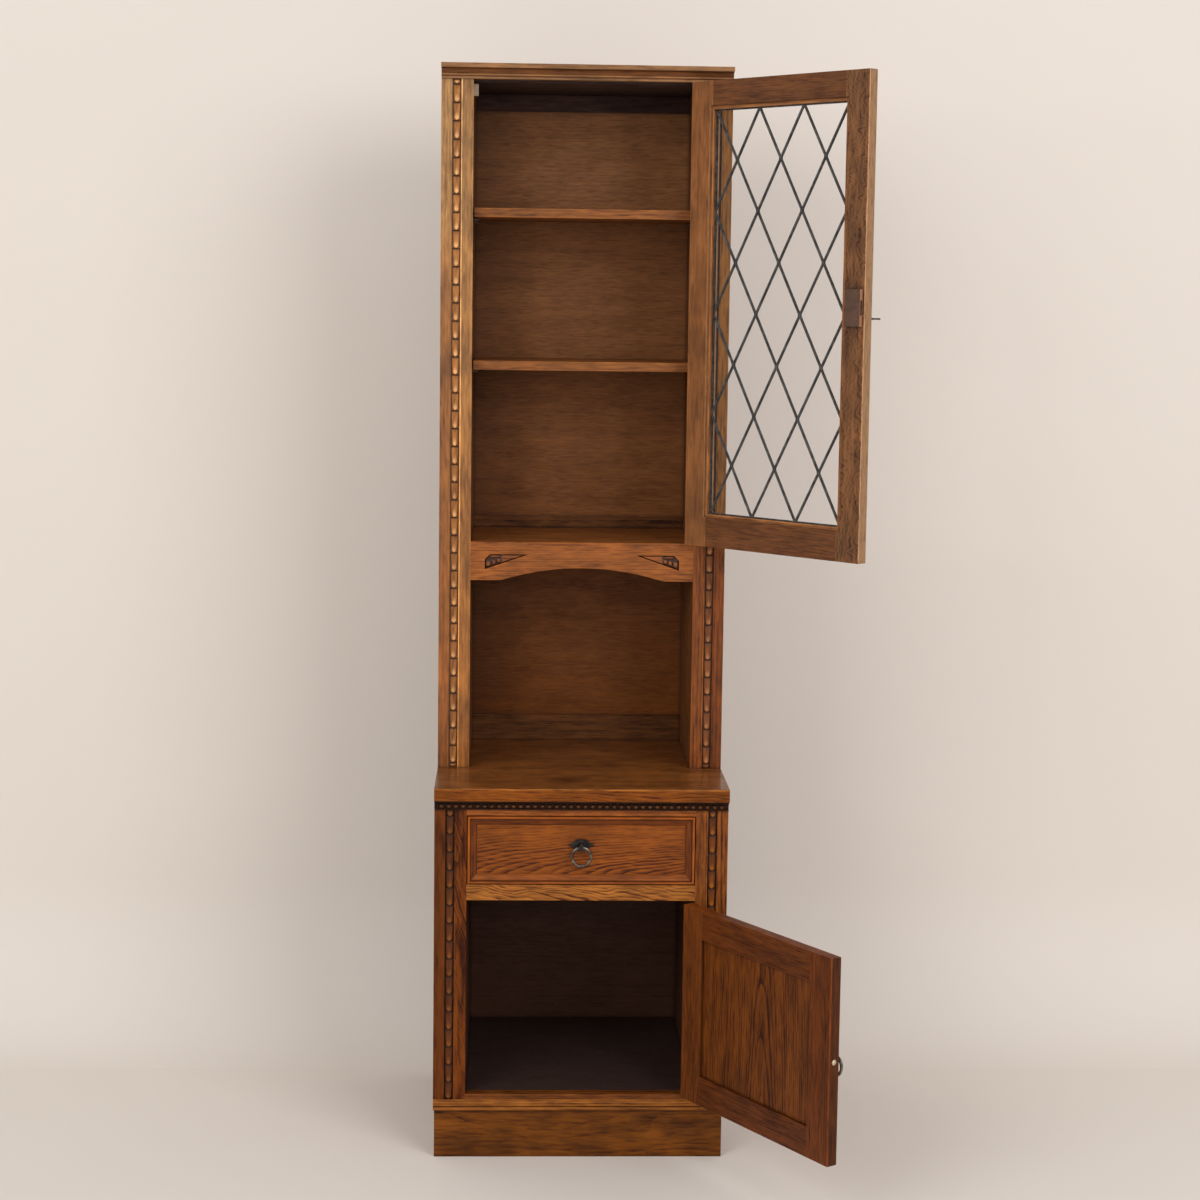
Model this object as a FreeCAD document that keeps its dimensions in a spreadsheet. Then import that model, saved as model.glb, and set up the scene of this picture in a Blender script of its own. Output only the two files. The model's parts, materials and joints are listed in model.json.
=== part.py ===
import FreeCAD, Part
import math
import operator
import os

import Sketcher

# Narrow two-stage oak display cabinet: a deep base with a drawer and a cupboard, and a shallower
# upper stage with an open niche and a leaded glass door. Both doors stand open, hinged on the right.
# X runs to the right, Y to the back and Z up. The origin is on the floor, under the middle of the
# plinth's front board.

# Driving sizes in millimetres, angles in degrees
SIZES = {
    # whole cabinet
    "overall_width": 500,
    "total_height": 1870,
    "base_depth": 440,
    "display_depth": 280,
    # boards
    "side_thickness": 18,
    "board_thickness": 18,
    "lining_thickness": 6,
    "back_thickness": 5,
    "back_recess": 7,
    "post_depth": 20,
    # front stiles and their sunk carving
    "stile_width": 55,
    "stile_thickness": 20,
    "stile_margin": 18.5,
    "carving_width": 16,
    "carving_depth": 3.6,
    "carving_bed": 0.8,
    "tongue_width": 11.6,
    "tongue_tip_radius": 4.6,
    "tongue_pitch": 31,
    "tongue_gap": 1.4,
    "tongue_low_end": 0.5,
    "tongue_high_end": 2.7,
    # plinth and the moulding above it
    "plinth_height": 84,
    "plinth_inset": 2,
    "plinth_board": 18,
    "base_moulding_height": 18.5,
    "base_bead_height": 6.6,
    "base_bead_projection": 6,
    "base_band_projection": 4,
    "base_quirk": 1.8,
    "bead_roundness": 0.42,
    # base stage
    "floor_height": 112,
    "top_rail_height": 28,
    "drawer_opening_height": 120,
    "drawer_rail_height": 27,
    "runner_width": 20,
    "runner_height": 18,
    # counter and the pearl moulding under it
    "counter_height": 650,
    "counter_thickness": 22,
    "counter_overhang": 20,
    "counter_top_radius": 3,
    "counter_foot_radius": 2,
    "pearl_moulding_height": 17,
    "pearl_moulding_depth": 8,
    "pearl_channel_height": 8.4,
    "pearl_channel_depth": 2.3,
    "pearl_foot_projection": 4.5,
    "pearl_lip": 1.8,
    # upper stage
    "niche_height": 400,
    "arch_rail_height": 67,
    "arch_rise": 22,
    "arch_half_span": 141,
    "arch_ease_radius": 60,
    "spandrel_depth": 2.4,
    "spandrel_top_drop": 21.5,
    "spandrel_height": 26.5,
    "spandrel_length": 76,
    "spandrel_edge": 25,
    "spandrel_corner": 9,
    "shelf_thickness": 15.6,
    "shelf_side_gap": 2,
    "shelf_setback": 30,
    "shelf_back_gap": 8,
    "middle_shelf_rise": 314.2,
    "upper_shelf_drop": 217,
    "peg_radius": 3,
    "peg_length": 9,
    "peg_inset": 40,
    "niche_batten_height": 47,
    "shelf_batten_height": 21,
    "top_batten_height": 30,
    "top_board_drop": 3,
    "batten_thickness": 5,
    # cornice
    "cornice_height": 25,
    "cornice_overhang": 22,
    "cornice_fascia": 7.6,
    "cornice_foot": 3.6,
    "cornice_foot_projection": 3,
    "cornice_bead_height": 5.4,
    "cornice_cove_radius": 13,
    # door stop at the top of the upper stage
    "stop_height": 20,
    "stop_depth": 14,
    "stop_thickness": 8,
    "stop_drop": 4,
    # doors
    "door_gap": 2,
    "door_height_gap": 1.5,
    "door_thickness": 19,
    "glazed_door_angle": 132.6,
    "cupboard_door_angle": 122.8,
    "hinge_offset": 4.2,
    "knuckle_radius": 3.8,
    "hinge_length": 50,
    "hinge_leaf_depth": 18,
    "hinge_inset": 110,
    "cupboard_hinge_inset": 60,
    "leaf_clearance": 0.1,
    "knuckle_clearance": 0.3,
    "pin_radius": 1.5,
    "pin_clearance": 0.06,
    "pin_head_radius": 2.6,
    "pin_head_height": 1.4,
    # glazed door
    "glazed_stile_width": 48,
    "glazed_top_rail": 48,
    "glazed_bottom_rail": 56,
    "rebate_width": 6,
    "rebate_depth": 12,
    "glass_thickness": 2,
    "glass_edge_clearance": 1,
    "bead_height": 7,
    "came_width": 3.2,
    "came_heart": 1,
    "came_flange": 0.8,
    "came_border": 2.4,
    "came_clearance": 0.2,
    # lock and key
    "lock_width": 31.5,
    "lock_height": 60,
    "lock_let_in": 2,
    "lock_proud": 6.4,
    "lock_edge_margin": 4.4,
    "lock_rise": 17.5,
    "bolt_height": 23.6,
    "bolt_thickness": 4,
    "bolt_clearance": 0.2,
    "bolt_length": 26,
    "mortise_clearance": 1,
    "key_radius": 2.8,
    "key_clearance": 0.06,
    "key_edge_distance": 21,
    "key_depth_in_lock": 6,
    "key_shank_out": 20,
    "key_collar_radius": 4.6,
    "key_collar_height": 2,
    "key_collar_gap": 3,
    "key_bow_length": 19,
    "key_bow_width": 25,
    "key_bow_thickness": 2.8,
    "key_bow_rim": 4,
    "key_bow_roundness": 0.45,
    # cupboard door
    "cupboard_stile_width": 52,
    "cupboard_rail_width": 50,
    "panel_thickness": 7,
    "panel_groove_depth": 8,
    "panel_edge_clearance": 1,
    "catch_radius": 4.5,
    "catch_length": 16,
    "catch_ball_radius": 3,
    "catch_ball_reach": 1.5,
    "cupboard_pull_rise": 1.5,
    "cupboard_pull_inset": 24,
    # mitred moulding on the drawer and the cupboard door
    "frame_moulding_width": 16,
    "frame_moulding_proud": 2,
    "frame_moulding_bead": 4.6,
    "frame_moulding_quirk_depth": 2.6,
    "frame_moulding_quirk_width": 0.9,
    "frame_moulding_lip": 2,
    "field_recess": 7,
    # drawer
    "drawer_gap": 1.5,
    "drawer_front_thickness": 18,
    "drawer_side_thickness": 12,
    "drawer_side_clearance": 2,
    "drawer_running_clearance": 0.3,
    "drawer_side_height": 102,
    "drawer_side_length": 375,
    "drawer_bottom_thickness": 4,
    "drawer_bottom_rise": 10,
    "drawer_groove_depth": 5,
    "drawer_groove_clearance": 0.2,
    "drawer_pull_rise": 6.6,
    # ring pulls
    "plate_width": 44,
    "plate_thickness": 2.2,
    "plate_rise": 10.8,
    "plate_drop": 9,
    "plate_shoulder": 12,
    "plate_shoulder_rise": 7,
    "plate_shoulder_drop": 4,
    "plate_lobe_rise": 1.5,
    "plate_waist": 5,
    "plate_flute_radius": 6.5,
    "post_half_width": 3,
    "post_half_height": 5.2,
    "post_round": 3.6,
    "post_reach": 17.6,
    "ring_standoff": 13,
    "ring_radius": 16.2,
    "ring_wire_radius": 2.8,
    "ring_eye_radius": 3.3,
}

DIAMOND_COLUMNS = 3
DIAMOND_ROWS = 4
SIDES = (("left", -1), ("right", 1))
OPERATIONS = {"+": operator.add, "-": operator.sub, "*": operator.mul, "/": operator.truediv}

doc = FreeCAD.newDocument("display_cabinet")
sheet = doc.addObject("Spreadsheet::Sheet", "Sizes")
for row, (alias, number) in enumerate(SIZES.items(), start=1):
    sheet.set(f"A{row}", alias)
    sheet.set(f"B{row}", str(number))
    sheet.setAlias(f"B{row}", alias)
doc.recompute()


class Size:
    """A length or an angle: its number, and the sheet expression that it comes from."""

    def __init__(self, value, text):
        self.value = value
        self.text = text

    def __add__(self, other):
        return combine(self, "+", other)

    def __radd__(self, other):
        return combine(other, "+", self)

    def __sub__(self, other):
        return combine(self, "-", other)

    def __rsub__(self, other):
        return combine(other, "-", self)

    def __mul__(self, other):
        return combine(self, "*", other)

    def __rmul__(self, other):
        return combine(other, "*", self)

    def __truediv__(self, other):
        return combine(self, "/", other)

    def __neg__(self):
        return combine(0, "-", self)


def as_size(thing):
    return thing if isinstance(thing, Size) else Size(float(thing), repr(float(thing)))


def combine(left, sign, right):
    left, right = as_size(left), as_size(right)
    return Size(OPERATIONS[sign](left.value, right.value), f"({left.text} {sign} {right.text})")


class SheetSizes:
    """Every cell of the sheet by its alias."""

    def __getattr__(self, alias):
        return Size(float(sheet.get(alias)), f"Sizes.{alias}")


S = SheetSizes()
NODES = {}

# Main planes, from the driving sizes
half_width = S.overall_width / 2
opening_half = half_width - S.stile_width
inside_half = half_width - S.side_thickness
base_front = -(S.plinth_inset + S.plinth_board / 2)
base_rear = base_front + S.base_depth
display_front = base_rear - S.display_depth
back_face = base_rear - S.back_recess - S.back_thickness
base_frame_back = base_front + S.stile_thickness
display_frame_back = display_front + S.stile_thickness

# Heights, from the floor up
counter_foot = S.counter_height - S.counter_thickness
drawer_top = counter_foot - S.top_rail_height
drawer_foot = drawer_top - S.drawer_opening_height
cupboard_top = drawer_foot - S.drawer_rail_height
base_moulding_top = S.plinth_height + S.base_moulding_height
pearl_foot = counter_foot - S.pearl_moulding_height
display_floor = S.counter_height + S.niche_height
arch_foot = display_floor - S.arch_rail_height
display_top = S.total_height - S.cornice_height
middle_shelf_top = display_floor + S.middle_shelf_rise
upper_shelf_top = display_top - S.upper_shelf_drop
top_foot = display_top - S.top_board_drop

# The linings stand flush with the inner edges of the stiles
lining_face = opening_half

# Door planes, measured from the hinge axis, which stands proud of the door's face
hinge_x = opening_half - S.door_gap / 2
door_hinge_edge = -S.door_gap / 2
door_width = 2 * opening_half - 2 * S.door_gap
door_free_edge = door_hinge_edge - door_width
door_face = S.hinge_offset
door_inner_face = door_face + S.door_thickness
field_face = door_face + S.field_recess
glazed_foot = display_floor + S.door_height_gap
glazed_head = display_top - S.door_height_gap
cupboard_foot = S.floor_height + S.door_height_gap
cupboard_head = cupboard_top - S.door_height_gap


class Door:
    """Where a door hangs and how far it stands open."""

    def __init__(self, front, open_angle):
        self.hinge_y = front - S.hinge_offset
        self.open_angle = open_angle


glazed_door = Door(display_front, S.glazed_door_angle)
cupboard_door = Door(base_front, S.cupboard_door_angle)


def root(size):
    return Size(math.sqrt(size.value), f"sqrt({size.text})")


def bead_radius(height):
    """The radius of a bead that stands out by its roundness times its height."""
    return height * (0.25 + S.bead_roundness * S.bead_roundness) / (2 * S.bead_roundness)


# Making and placing solids

def bind(thing, path, size):
    thing.setExpression(path, as_size(size).text)


def keep(name, thing):
    thing.Label = name
    NODES[name] = thing
    return thing


def span(sign, near, far):
    """A pair of places on one side of the middle, lower one first."""
    return (near, far) if sign > 0 else (-far, -near)


def plank(name, x, y, z):
    """A straight board between two corners."""
    board = doc.addObject("Part::Box", name)
    for side, axis, (low, high) in (("Length", "x", x), ("Width", "y", y), ("Height", "z", z)):
        bind(board, side, as_size(high) - low)
        bind(board, f"Placement.Base.{axis}", low)
    return board


def rod(name, radius, length, place, axis, turn):
    """A round bar that starts at a place; axis and turn point it away from straight up."""
    bar = doc.addObject("Part::Cylinder", name)
    bind(bar, "Radius", radius)
    bind(bar, "Height", length)
    bar.Placement.Rotation = FreeCAD.Rotation(FreeCAD.Vector(*axis), turn)
    for letter, value in zip("xyz", place):
        bind(bar, f"Placement.Base.{letter}", value)
    return bar


def cut(name, base, *tools):
    for number, tool in enumerate(tools):
        result = doc.addObject("Part::Cut", f"{name}_cut_{number}")
        result.Base = base
        result.Tool = tool
        base = result
    return base


def fuse(name, *pieces):
    result = doc.addObject("Part::MultiFuse", f"{name}_fuse")
    result.Shapes = list(pieces)
    return result


def group(name, pieces):
    result = doc.addObject("Part::Compound", f"{name}_group")
    result.Links = list(pieces)
    return result


def swing(thing, door):
    """Hangs a piece, drawn about its hinge axis, in its door's open position."""
    bind(thing, "Placement.Base.x", hinge_x)
    bind(thing, "Placement.Base.y", door.hinge_y)
    bind(thing, "Placement.Rotation.Angle", door.open_angle)
    return thing


def arc_between(start, end, radius):
    """The arc from start to end; a positive radius turns left and a negative one turns right."""
    chord = end - start
    middle = (start + end) * 0.5
    rise = math.sqrt(max(radius * radius - chord.Length ** 2 / 4, 0.0))
    left = FreeCAD.Vector(-chord.y, chord.x, 0).normalize()
    centre = middle + left * (rise if radius > 0 else -rise)
    first, last = (start, end) if radius > 0 else (end, start)
    angles = [math.atan2(point.y - centre.y, point.x - centre.x) for point in (first, last)]
    circle = Part.Circle(centre, FreeCAD.Vector(0, 0, 1), abs(radius))
    return Part.ArcOfCircle(circle, *angles)


def draw(sketch, corners):
    """A closed outline; a corner is (x, y), or (x, y, radius) where an arc leaves it."""
    points = [FreeCAD.Vector(as_size(c[0]).value, as_size(c[1]).value, 0) for c in corners]
    first = sketch.GeometryCount
    ends = []
    for number, corner in enumerate(corners):
        start, end = points[number], points[(number + 1) % len(points)]
        if len(corner) == 3:
            radius = as_size(corner[2])
            index = sketch.addGeometry(arc_between(start, end, radius.value), False)
            ends.append((1, 2) if radius.value > 0 else (2, 1))
            size = radius if radius.value > 0 else -radius
            mark = sketch.addConstraint(Sketcher.Constraint("Radius", index, size.value))
            bind(sketch, f"Constraints[{mark}]", size)
        else:
            sketch.addGeometry(Part.LineSegment(start, end), False)
            ends.append((1, 2))
    for number, corner in enumerate(corners):
        index, start = first + number, ends[number][0]
        last = first + (number - 1) % len(corners)
        sketch.addConstraint(Sketcher.Constraint("Coincident", last, ends[number - 1][1], index, start))
        for kind, value in (("DistanceX", as_size(corner[0])), ("DistanceY", as_size(corner[1]))):
            mark = sketch.addConstraint(Sketcher.Constraint(kind, -1, 1, index, start, value.value))
            bind(sketch, f"Constraints[{mark}]", value)


def draw_circle(sketch, x, y, radius):
    centre = FreeCAD.Vector(as_size(x).value, as_size(y).value, 0)
    circle = Part.Circle(centre, FreeCAD.Vector(0, 0, 1), radius.value)
    index = sketch.addGeometry(circle, False)
    for kind, value in (("DistanceX", as_size(x)), ("DistanceY", as_size(y))):
        mark = sketch.addConstraint(Sketcher.Constraint(kind, -1, 1, index, 3, value.value))
        bind(sketch, f"Constraints[{mark}]", value)
    mark = sketch.addConstraint(Sketcher.Constraint("Radius", index, radius.value))
    bind(sketch, f"Constraints[{mark}]", radius)


def new_body(name):
    return doc.addObject("PartDesign::Body", name)


def new_sketch(body, role, offset=0):
    """A sketch on one of the body's own planes, moved along the plane's normal."""
    sketch = body.newObject("Sketcher::SketchObject", f"{body.Name}_sketch")
    plane = next(plane for plane in body.Origin.OriginFeatures if plane.Role == role)
    sketch.AttachmentSupport = [(plane, "")]
    sketch.MapMode = "FlatFace"
    bind(sketch, "AttachmentOffset.Base.z", offset)
    return sketch


def pad(body, sketch, length, side_type="One side", reverse=False):
    feature = body.newObject("PartDesign::Pad", f"{body.Name}_pad")
    feature.Profile = sketch
    feature.SideType = side_type
    feature.Reversed = reverse
    bind(feature, "Length", length)
    return feature


def pocket(body, sketch, depth=None, reverse=False):
    """Cuts an outline to a depth, or right through both ways where no depth is given."""
    feature = body.newObject("PartDesign::Pocket", f"{body.Name}_pocket")
    feature.Profile = sketch
    feature.Reversed = reverse
    if depth is None:
        feature.SideType = "Symmetric"
        feature.Type = "ThroughAll"
    else:
        bind(feature, "Length", depth)
    return feature


def moulding(name, profile):
    """A section drawn in Y and Z, run along the whole width."""
    body = new_body(name)
    section = new_sketch(body, "YZ_Plane")
    draw(section, profile)
    pad(body, section, S.overall_width, side_type="Symmetric")
    return keep(name, body)


# Base stage

def plinth():
    outer = half_width - S.plinth_inset
    rear = base_rear - S.plinth_inset
    height = (0, S.plinth_height)
    front_back = S.plinth_board / 2
    rear_front = rear - S.plinth_board
    keep("plinth_front", plank("plinth_front", (-outer, outer), (-front_back, front_back), height))
    keep("plinth_back", plank("plinth_back", (-outer, outer), (rear_front, rear), height))
    ends = []
    for side, sign in SIDES:
        reach = span(sign, outer - S.plinth_board, outer)
        ends.append(plank(f"plinth_{side}", reach, (front_back, rear_front), height))
    keep("plinth_sides", group("plinth_sides", ends))


def base_moulding():
    """A flat band over a bead, planted on the stiles and the bottom rail."""
    bead_start = base_front - (S.base_bead_projection - S.bead_roundness * S.base_bead_height)
    bead_head = S.plinth_height + S.base_bead_height
    quirk = base_front - S.base_quirk
    band = base_front - S.base_band_projection
    band_foot = bead_head + S.base_quirk
    band_head = base_moulding_top - S.base_band_projection
    moulding("base_moulding", [
        (base_front, S.plinth_height),
        (base_front, base_moulding_top),
        (band, band_head),
        (band, band_foot),
        (quirk, band_foot),
        (quirk, bead_head),
        (bead_start, bead_head, bead_radius(S.base_bead_height)),
        (bead_start, S.plinth_height),
    ])


def carcass_sides(stage, front, foot, head):
    for side, sign in SIDES:
        name = f"{stage}_{side}_side"
        keep(name, plank(name, span(sign, inside_half, half_width), (front, base_rear), (foot, head)))


def lining(stage, side, sign, front, foot, head):
    """One inner wall, which carries a stile's edge back to the rear post."""
    reach = span(sign, lining_face, lining_face + S.lining_thickness)
    return plank(f"{stage}_{side}_lining", reach, (front, back_face), (foot, head))


def base_linings():
    boards = [lining("base", side, sign, base_frame_back, S.floor_height, counter_foot)
              for side, sign in SIDES]
    keep("base_linings", group("base_linings", boards))


def display_linings():
    """The left one has a notch, close behind its stile, for the bolt of the lock."""
    left, right = [lining("display", side, sign, display_frame_back, S.counter_height, top_foot)
                   for side, sign in SIDES]
    centre = (glazed_foot + glazed_head) / 2 + S.lock_rise
    half = S.bolt_height / 2 + S.mortise_clearance
    bolt_back = bolt_middle() + S.bolt_thickness / 2 + display_front - S.hinge_offset
    reach = (-(lining_face + S.lining_thickness), -lining_face)
    depth = (display_frame_back, bolt_back + S.mortise_clearance)
    notch = plank("bolt_notch", reach, depth, (centre - half, centre + half))
    boards = [cut("display_notched_lining", left, notch), right]
    keep("display_linings", group("display_linings", boards))


def rear_posts():
    """Upright fillets at the back that hold the linings off the sides."""
    posts = []
    depth = (back_face - S.post_depth, back_face)
    stages = (("base", S.floor_height, counter_foot), ("display", S.counter_height, top_foot))
    for stage, foot, head in stages:
        for side, sign in SIDES:
            reach = span(sign, lining_face + S.lining_thickness, inside_half)
            posts.append(plank(f"{stage}_{side}_post", reach, depth, (foot, head)))
    keep("rear_posts", group("rear_posts", posts))


def stile(stage, side, sign, front, foot, head):
    """A corner upright with a channel sunk down its face for the carving."""
    body = new_body(f"{stage}_{side}_stile")
    channel_outer = half_width - S.stile_margin
    channel_inner = channel_outer - S.carving_width
    bed = front + S.carving_depth
    back = front + S.stile_thickness
    section = new_sketch(body, "XY_Plane", foot)
    draw(section, [
        (sign * opening_half, front),
        (sign * channel_inner, front),
        (sign * channel_inner, bed),
        (sign * channel_outer, bed),
        (sign * channel_outer, front),
        (sign * half_width, front),
        (sign * half_width, back),
        (sign * opening_half, back),
    ])
    pad(body, section, head - foot)
    return keep(body.Name, body)


def tongue(front):
    """One carved tongue, its top end at height zero: it rises from its bed to a round lower tip."""
    half = S.tongue_width.value / 2
    tip = S.tongue_tip_radius.value
    length = S.tongue_pitch.value - S.tongue_gap.value
    bed = front.value + S.carving_depth.value - S.carving_bed.value
    low = bed - S.tongue_low_end.value
    high = bed - S.tongue_high_end.value
    spring = tip - length
    outline = ((-tip, spring), (-half, 0), (half, 0), (tip, spring))
    shoulders = [FreeCAD.Vector(x, bed, z) for x, z in outline]
    lowest = FreeCAD.Vector(0, bed, -length)
    edges = [Part.makeLine(a, b) for a, b in zip(shoulders, shoulders[1:])]
    edges.append(Part.Arc(shoulders[3], lowest, shoulders[0]).toShape())
    blank = Part.Face(Part.Wire(edges)).extrude(FreeCAD.Vector(0, high - bed, 0))
    corners = [(bed, 0), (low, 0), (high, -length), (bed, -length), (bed, 0)]
    slope = Part.Face(Part.makePolygon([FreeCAD.Vector(-half, y, z) for y, z in corners]))
    return blank.common(slope.extrude(FreeCAD.Vector(2 * half, 0, 0)))


def carved_strip(sign, front, foot, head):
    """A bed that fills the channel's width, and the tongues that run down it."""
    middle = sign * (half_width.value - S.stile_margin.value - S.carving_width.value / 2)
    width, bed = S.carving_width.value, S.carving_bed.value
    length = head.value - foot.value
    corner = FreeCAD.Vector(middle - width / 2, front.value + S.carving_depth.value - bed, foot.value)
    strip = Part.makeBox(width, bed, length, corner)
    pattern = tongue(front)
    count = int(length // S.tongue_pitch.value)
    spare = length - count * S.tongue_pitch.value
    tongues = []
    for number in range(count):
        height = head.value - spare / 2 - number * S.tongue_pitch.value
        tongues.append(pattern.translated(FreeCAD.Vector(middle, 0, height)))
    return strip.multiFuse(tongues)


def carved_strips():
    shapes = []
    for front, foot, head in ((base_front, base_moulding_top, pearl_foot),
                              (display_front, S.counter_height, display_top)):
        shapes.extend(carved_strip(sign, front, foot, head) for side, sign in SIDES)
    strips = keep("carved_strips", doc.addObject("Part::Feature", "carved_strips"))
    strips.Shape = Part.makeCompound(shapes)
    strips.Placement = FreeCAD.Placement()


def front_rail(name, front, foot, head):
    reach = (-opening_half, opening_half)
    keep(name, plank(name, reach, (front, front + S.stile_thickness), (foot, head)))


def drawer_guides():
    """Two runners under the drawer and two kickers over its sides, fixed to the linings."""
    bars = []
    for kind, low in (("runner", drawer_foot - S.runner_height), ("kicker", drawer_top)):
        for side, sign in SIDES:
            reach = span(sign, lining_face - S.runner_width, lining_face)
            depth = (base_frame_back, back_face)
            bars.append(plank(f"{side}_{kind}", reach, depth, (low, low + S.runner_height)))
    keep("drawer_guides", group("drawer_guides", bars))


def back_panel(stage, foot, head):
    name = f"{stage}_back_panel"
    depth = (back_face, back_face + S.back_thickness)
    keep(name, plank(name, (-inside_half, inside_half), depth, (foot, head)))


def counter_top():
    front = base_front - S.counter_overhang
    top, foot = S.counter_height, counter_foot
    moulding("counter_top", [
        (base_rear, foot),
        (base_rear, top),
        (front + S.counter_top_radius, top, S.counter_top_radius),
        (front, top - S.counter_top_radius),
        (front, foot + S.counter_foot_radius, S.counter_foot_radius),
        (front + S.counter_foot_radius, foot),
    ])


def pearl_moulding():
    """A strip with a channel along its face, planted under the counter."""
    lip = base_front - S.pearl_foot_projection
    bed = lip + S.pearl_channel_depth
    face = base_front - S.pearl_moulding_depth
    channel_foot = pearl_foot + S.pearl_lip
    channel_head = channel_foot + S.pearl_channel_height
    moulding("pearl_moulding", [
        (base_front, pearl_foot),
        (base_front, counter_foot),
        (face, counter_foot),
        (face, channel_head + S.pearl_lip),
        (lip, channel_head),
        (bed, channel_head),
        (bed, channel_foot),
        (lip, channel_foot),
        (lip, pearl_foot),
    ])


def base_stage():
    plinth()
    base_moulding()
    carcass_sides("base", base_frame_back, S.plinth_height, counter_foot)
    base_linings()
    for side, sign in SIDES:
        stile("base", side, sign, base_front, S.plinth_height, counter_foot)
    front_rail("bottom_rail", base_front, S.plinth_height, S.floor_height)
    front_rail("drawer_rail", base_front, cupboard_top, drawer_foot)
    front_rail("top_rail", base_front, drawer_top, counter_foot)
    floor = (S.floor_height - S.board_thickness, S.floor_height)
    bottom = plank("base_bottom_board", (-inside_half, inside_half), (base_frame_back, back_face), floor)
    keep("base_bottom_board", bottom)
    drawer_guides()
    back_panel("base", S.plinth_height, counter_foot)
    counter_top()
    pearl_moulding()


# Upper stage

def cornice():
    """Top moulding: a foot, a bead, a cove and a square fascia over them."""
    foot_face = display_front - S.cornice_foot_projection
    bead_foot = display_top + S.cornice_foot
    bead_head = bead_foot + S.cornice_bead_height
    fascia = display_front - S.cornice_overhang
    fascia_foot = S.total_height - S.cornice_fascia
    moulding("cornice", [
        (display_frame_back, display_top),
        (display_frame_back, S.total_height),
        (fascia, S.total_height),
        (fascia, fascia_foot),
        (fascia + S.cornice_foot_projection, fascia_foot, -S.cornice_cove_radius),
        (foot_face, bead_head, bead_radius(S.cornice_bead_height)),
        (foot_face, bead_foot),
        (foot_face, display_top),
    ])


def arch_rail():
    """The rail under the glazed door: an arch eased into its flat ends, and two sunk spandrels."""
    body = new_body("arch_rail")
    half, rise, ease = S.arch_half_span, S.arch_rise, S.arch_ease_radius
    radius = (half * half + rise * rise) / (2 * rise)
    ease_start = root(rise * (2 * (radius + ease) - rise))
    arch_share = radius / (radius + ease)
    arch_end = ease_start * arch_share
    arch_end_height = arch_foot + rise - radius + (radius + ease - rise) * arch_share
    face = new_sketch(body, "XZ_Plane", -display_front)
    draw(face, [
        (-opening_half, display_floor),
        (-opening_half, arch_foot),
        (-ease_start, arch_foot, ease),
        (-arch_end, arch_end_height, -radius),
        (arch_end, arch_end_height, ease),
        (ease_start, arch_foot),
        (opening_half, arch_foot),
        (opening_half, display_floor),
    ])
    pad(body, face, S.stile_thickness, reverse=True)
    sunk = new_sketch(body, "XZ_Plane", -display_front)
    outer = opening_half - S.spandrel_edge
    head = display_floor - S.spandrel_top_drop
    for side, sign in SIDES:
        draw(sunk, [
            (sign * outer, head - S.spandrel_height),
            (sign * outer, head - S.spandrel_corner),
            (sign * (outer - S.spandrel_corner), head),
            (sign * (outer - S.spandrel_length), head),
        ])
    pocket(body, sunk, S.spandrel_depth)
    keep("arch_rail", body)


def loose_shelf(name, top):
    """A board that rests on four pegs; its pegs are returned."""
    reach = lining_face - S.shelf_side_gap
    depth = (display_front + S.shelf_setback, back_face - S.shelf_back_gap)
    foot = top - S.shelf_thickness
    keep(name, plank(name, (-reach, reach), depth, (foot, top)))
    pegs = []
    for side, sign in SIDES:
        for end, y in (("front", depth[0] + S.peg_inset), ("back", depth[1] - S.peg_inset)):
            start = (sign * lining_face, y, foot - S.peg_radius)
            peg = f"{name}_{side}_{end}_peg"
            pegs.append(rod(peg, S.peg_radius, S.peg_length, start, (0, 1, 0), -90 * sign))
    return pegs


def back_rails():
    """Battens across the back: in the niche, over the fixed shelf and under the top."""
    rails = []
    for place, foot, height in (("niche", S.counter_height, S.niche_batten_height),
                                ("shelf", display_floor, S.shelf_batten_height),
                                ("top", top_foot - S.top_batten_height, S.top_batten_height)):
        depth = (back_face - S.batten_thickness, back_face)
        reach = (-lining_face, lining_face)
        rails.append(plank(f"{place}_batten", reach, depth, (foot, foot + height)))
    keep("back_rails", group("back_rails", rails))


def door_stop():
    """A small block on the left lining that the glazed door closes against."""
    head = top_foot - S.stop_drop
    reach = (-lining_face, -(lining_face - S.stop_thickness))
    front = display_frame_back
    stop = plank("door_stop", reach, (front, front + S.stop_depth), (head - S.stop_height, head))
    keep("door_stop", stop)


def display_stage():
    carcass_sides("display", display_frame_back, S.counter_height, top_foot)
    display_linings()
    for side, sign in SIDES:
        stile("display", side, sign, display_front, S.counter_height, display_top)
    rear_posts()
    carved_strips()
    cornice()
    depth = (display_frame_back, base_rear)
    top = plank("top_board", (-half_width, half_width), depth, (top_foot, S.total_height))
    keep("top_board", top)
    back_panel("display", S.counter_height, top_foot)
    back_rails()
    floor = (display_floor - S.board_thickness, display_floor)
    shelf = plank("fixed_shelf", (-lining_face, lining_face), (display_frame_back, back_face), floor)
    keep("fixed_shelf", shelf)
    arch_rail()
    pegs = loose_shelf("middle_shelf", middle_shelf_top) + loose_shelf("upper_shelf", upper_shelf_top)
    keep("shelf_pegs", group("shelf_pegs", pegs))
    door_stop()


# Butt hinges, drawn about their own axis with the door shut

def upright_rod(name, radius, low, high):
    """A round bar on the hinge axis."""
    return rod(name, radius, high - low, (0, 0, low), (0, 0, 1), 0)


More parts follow.
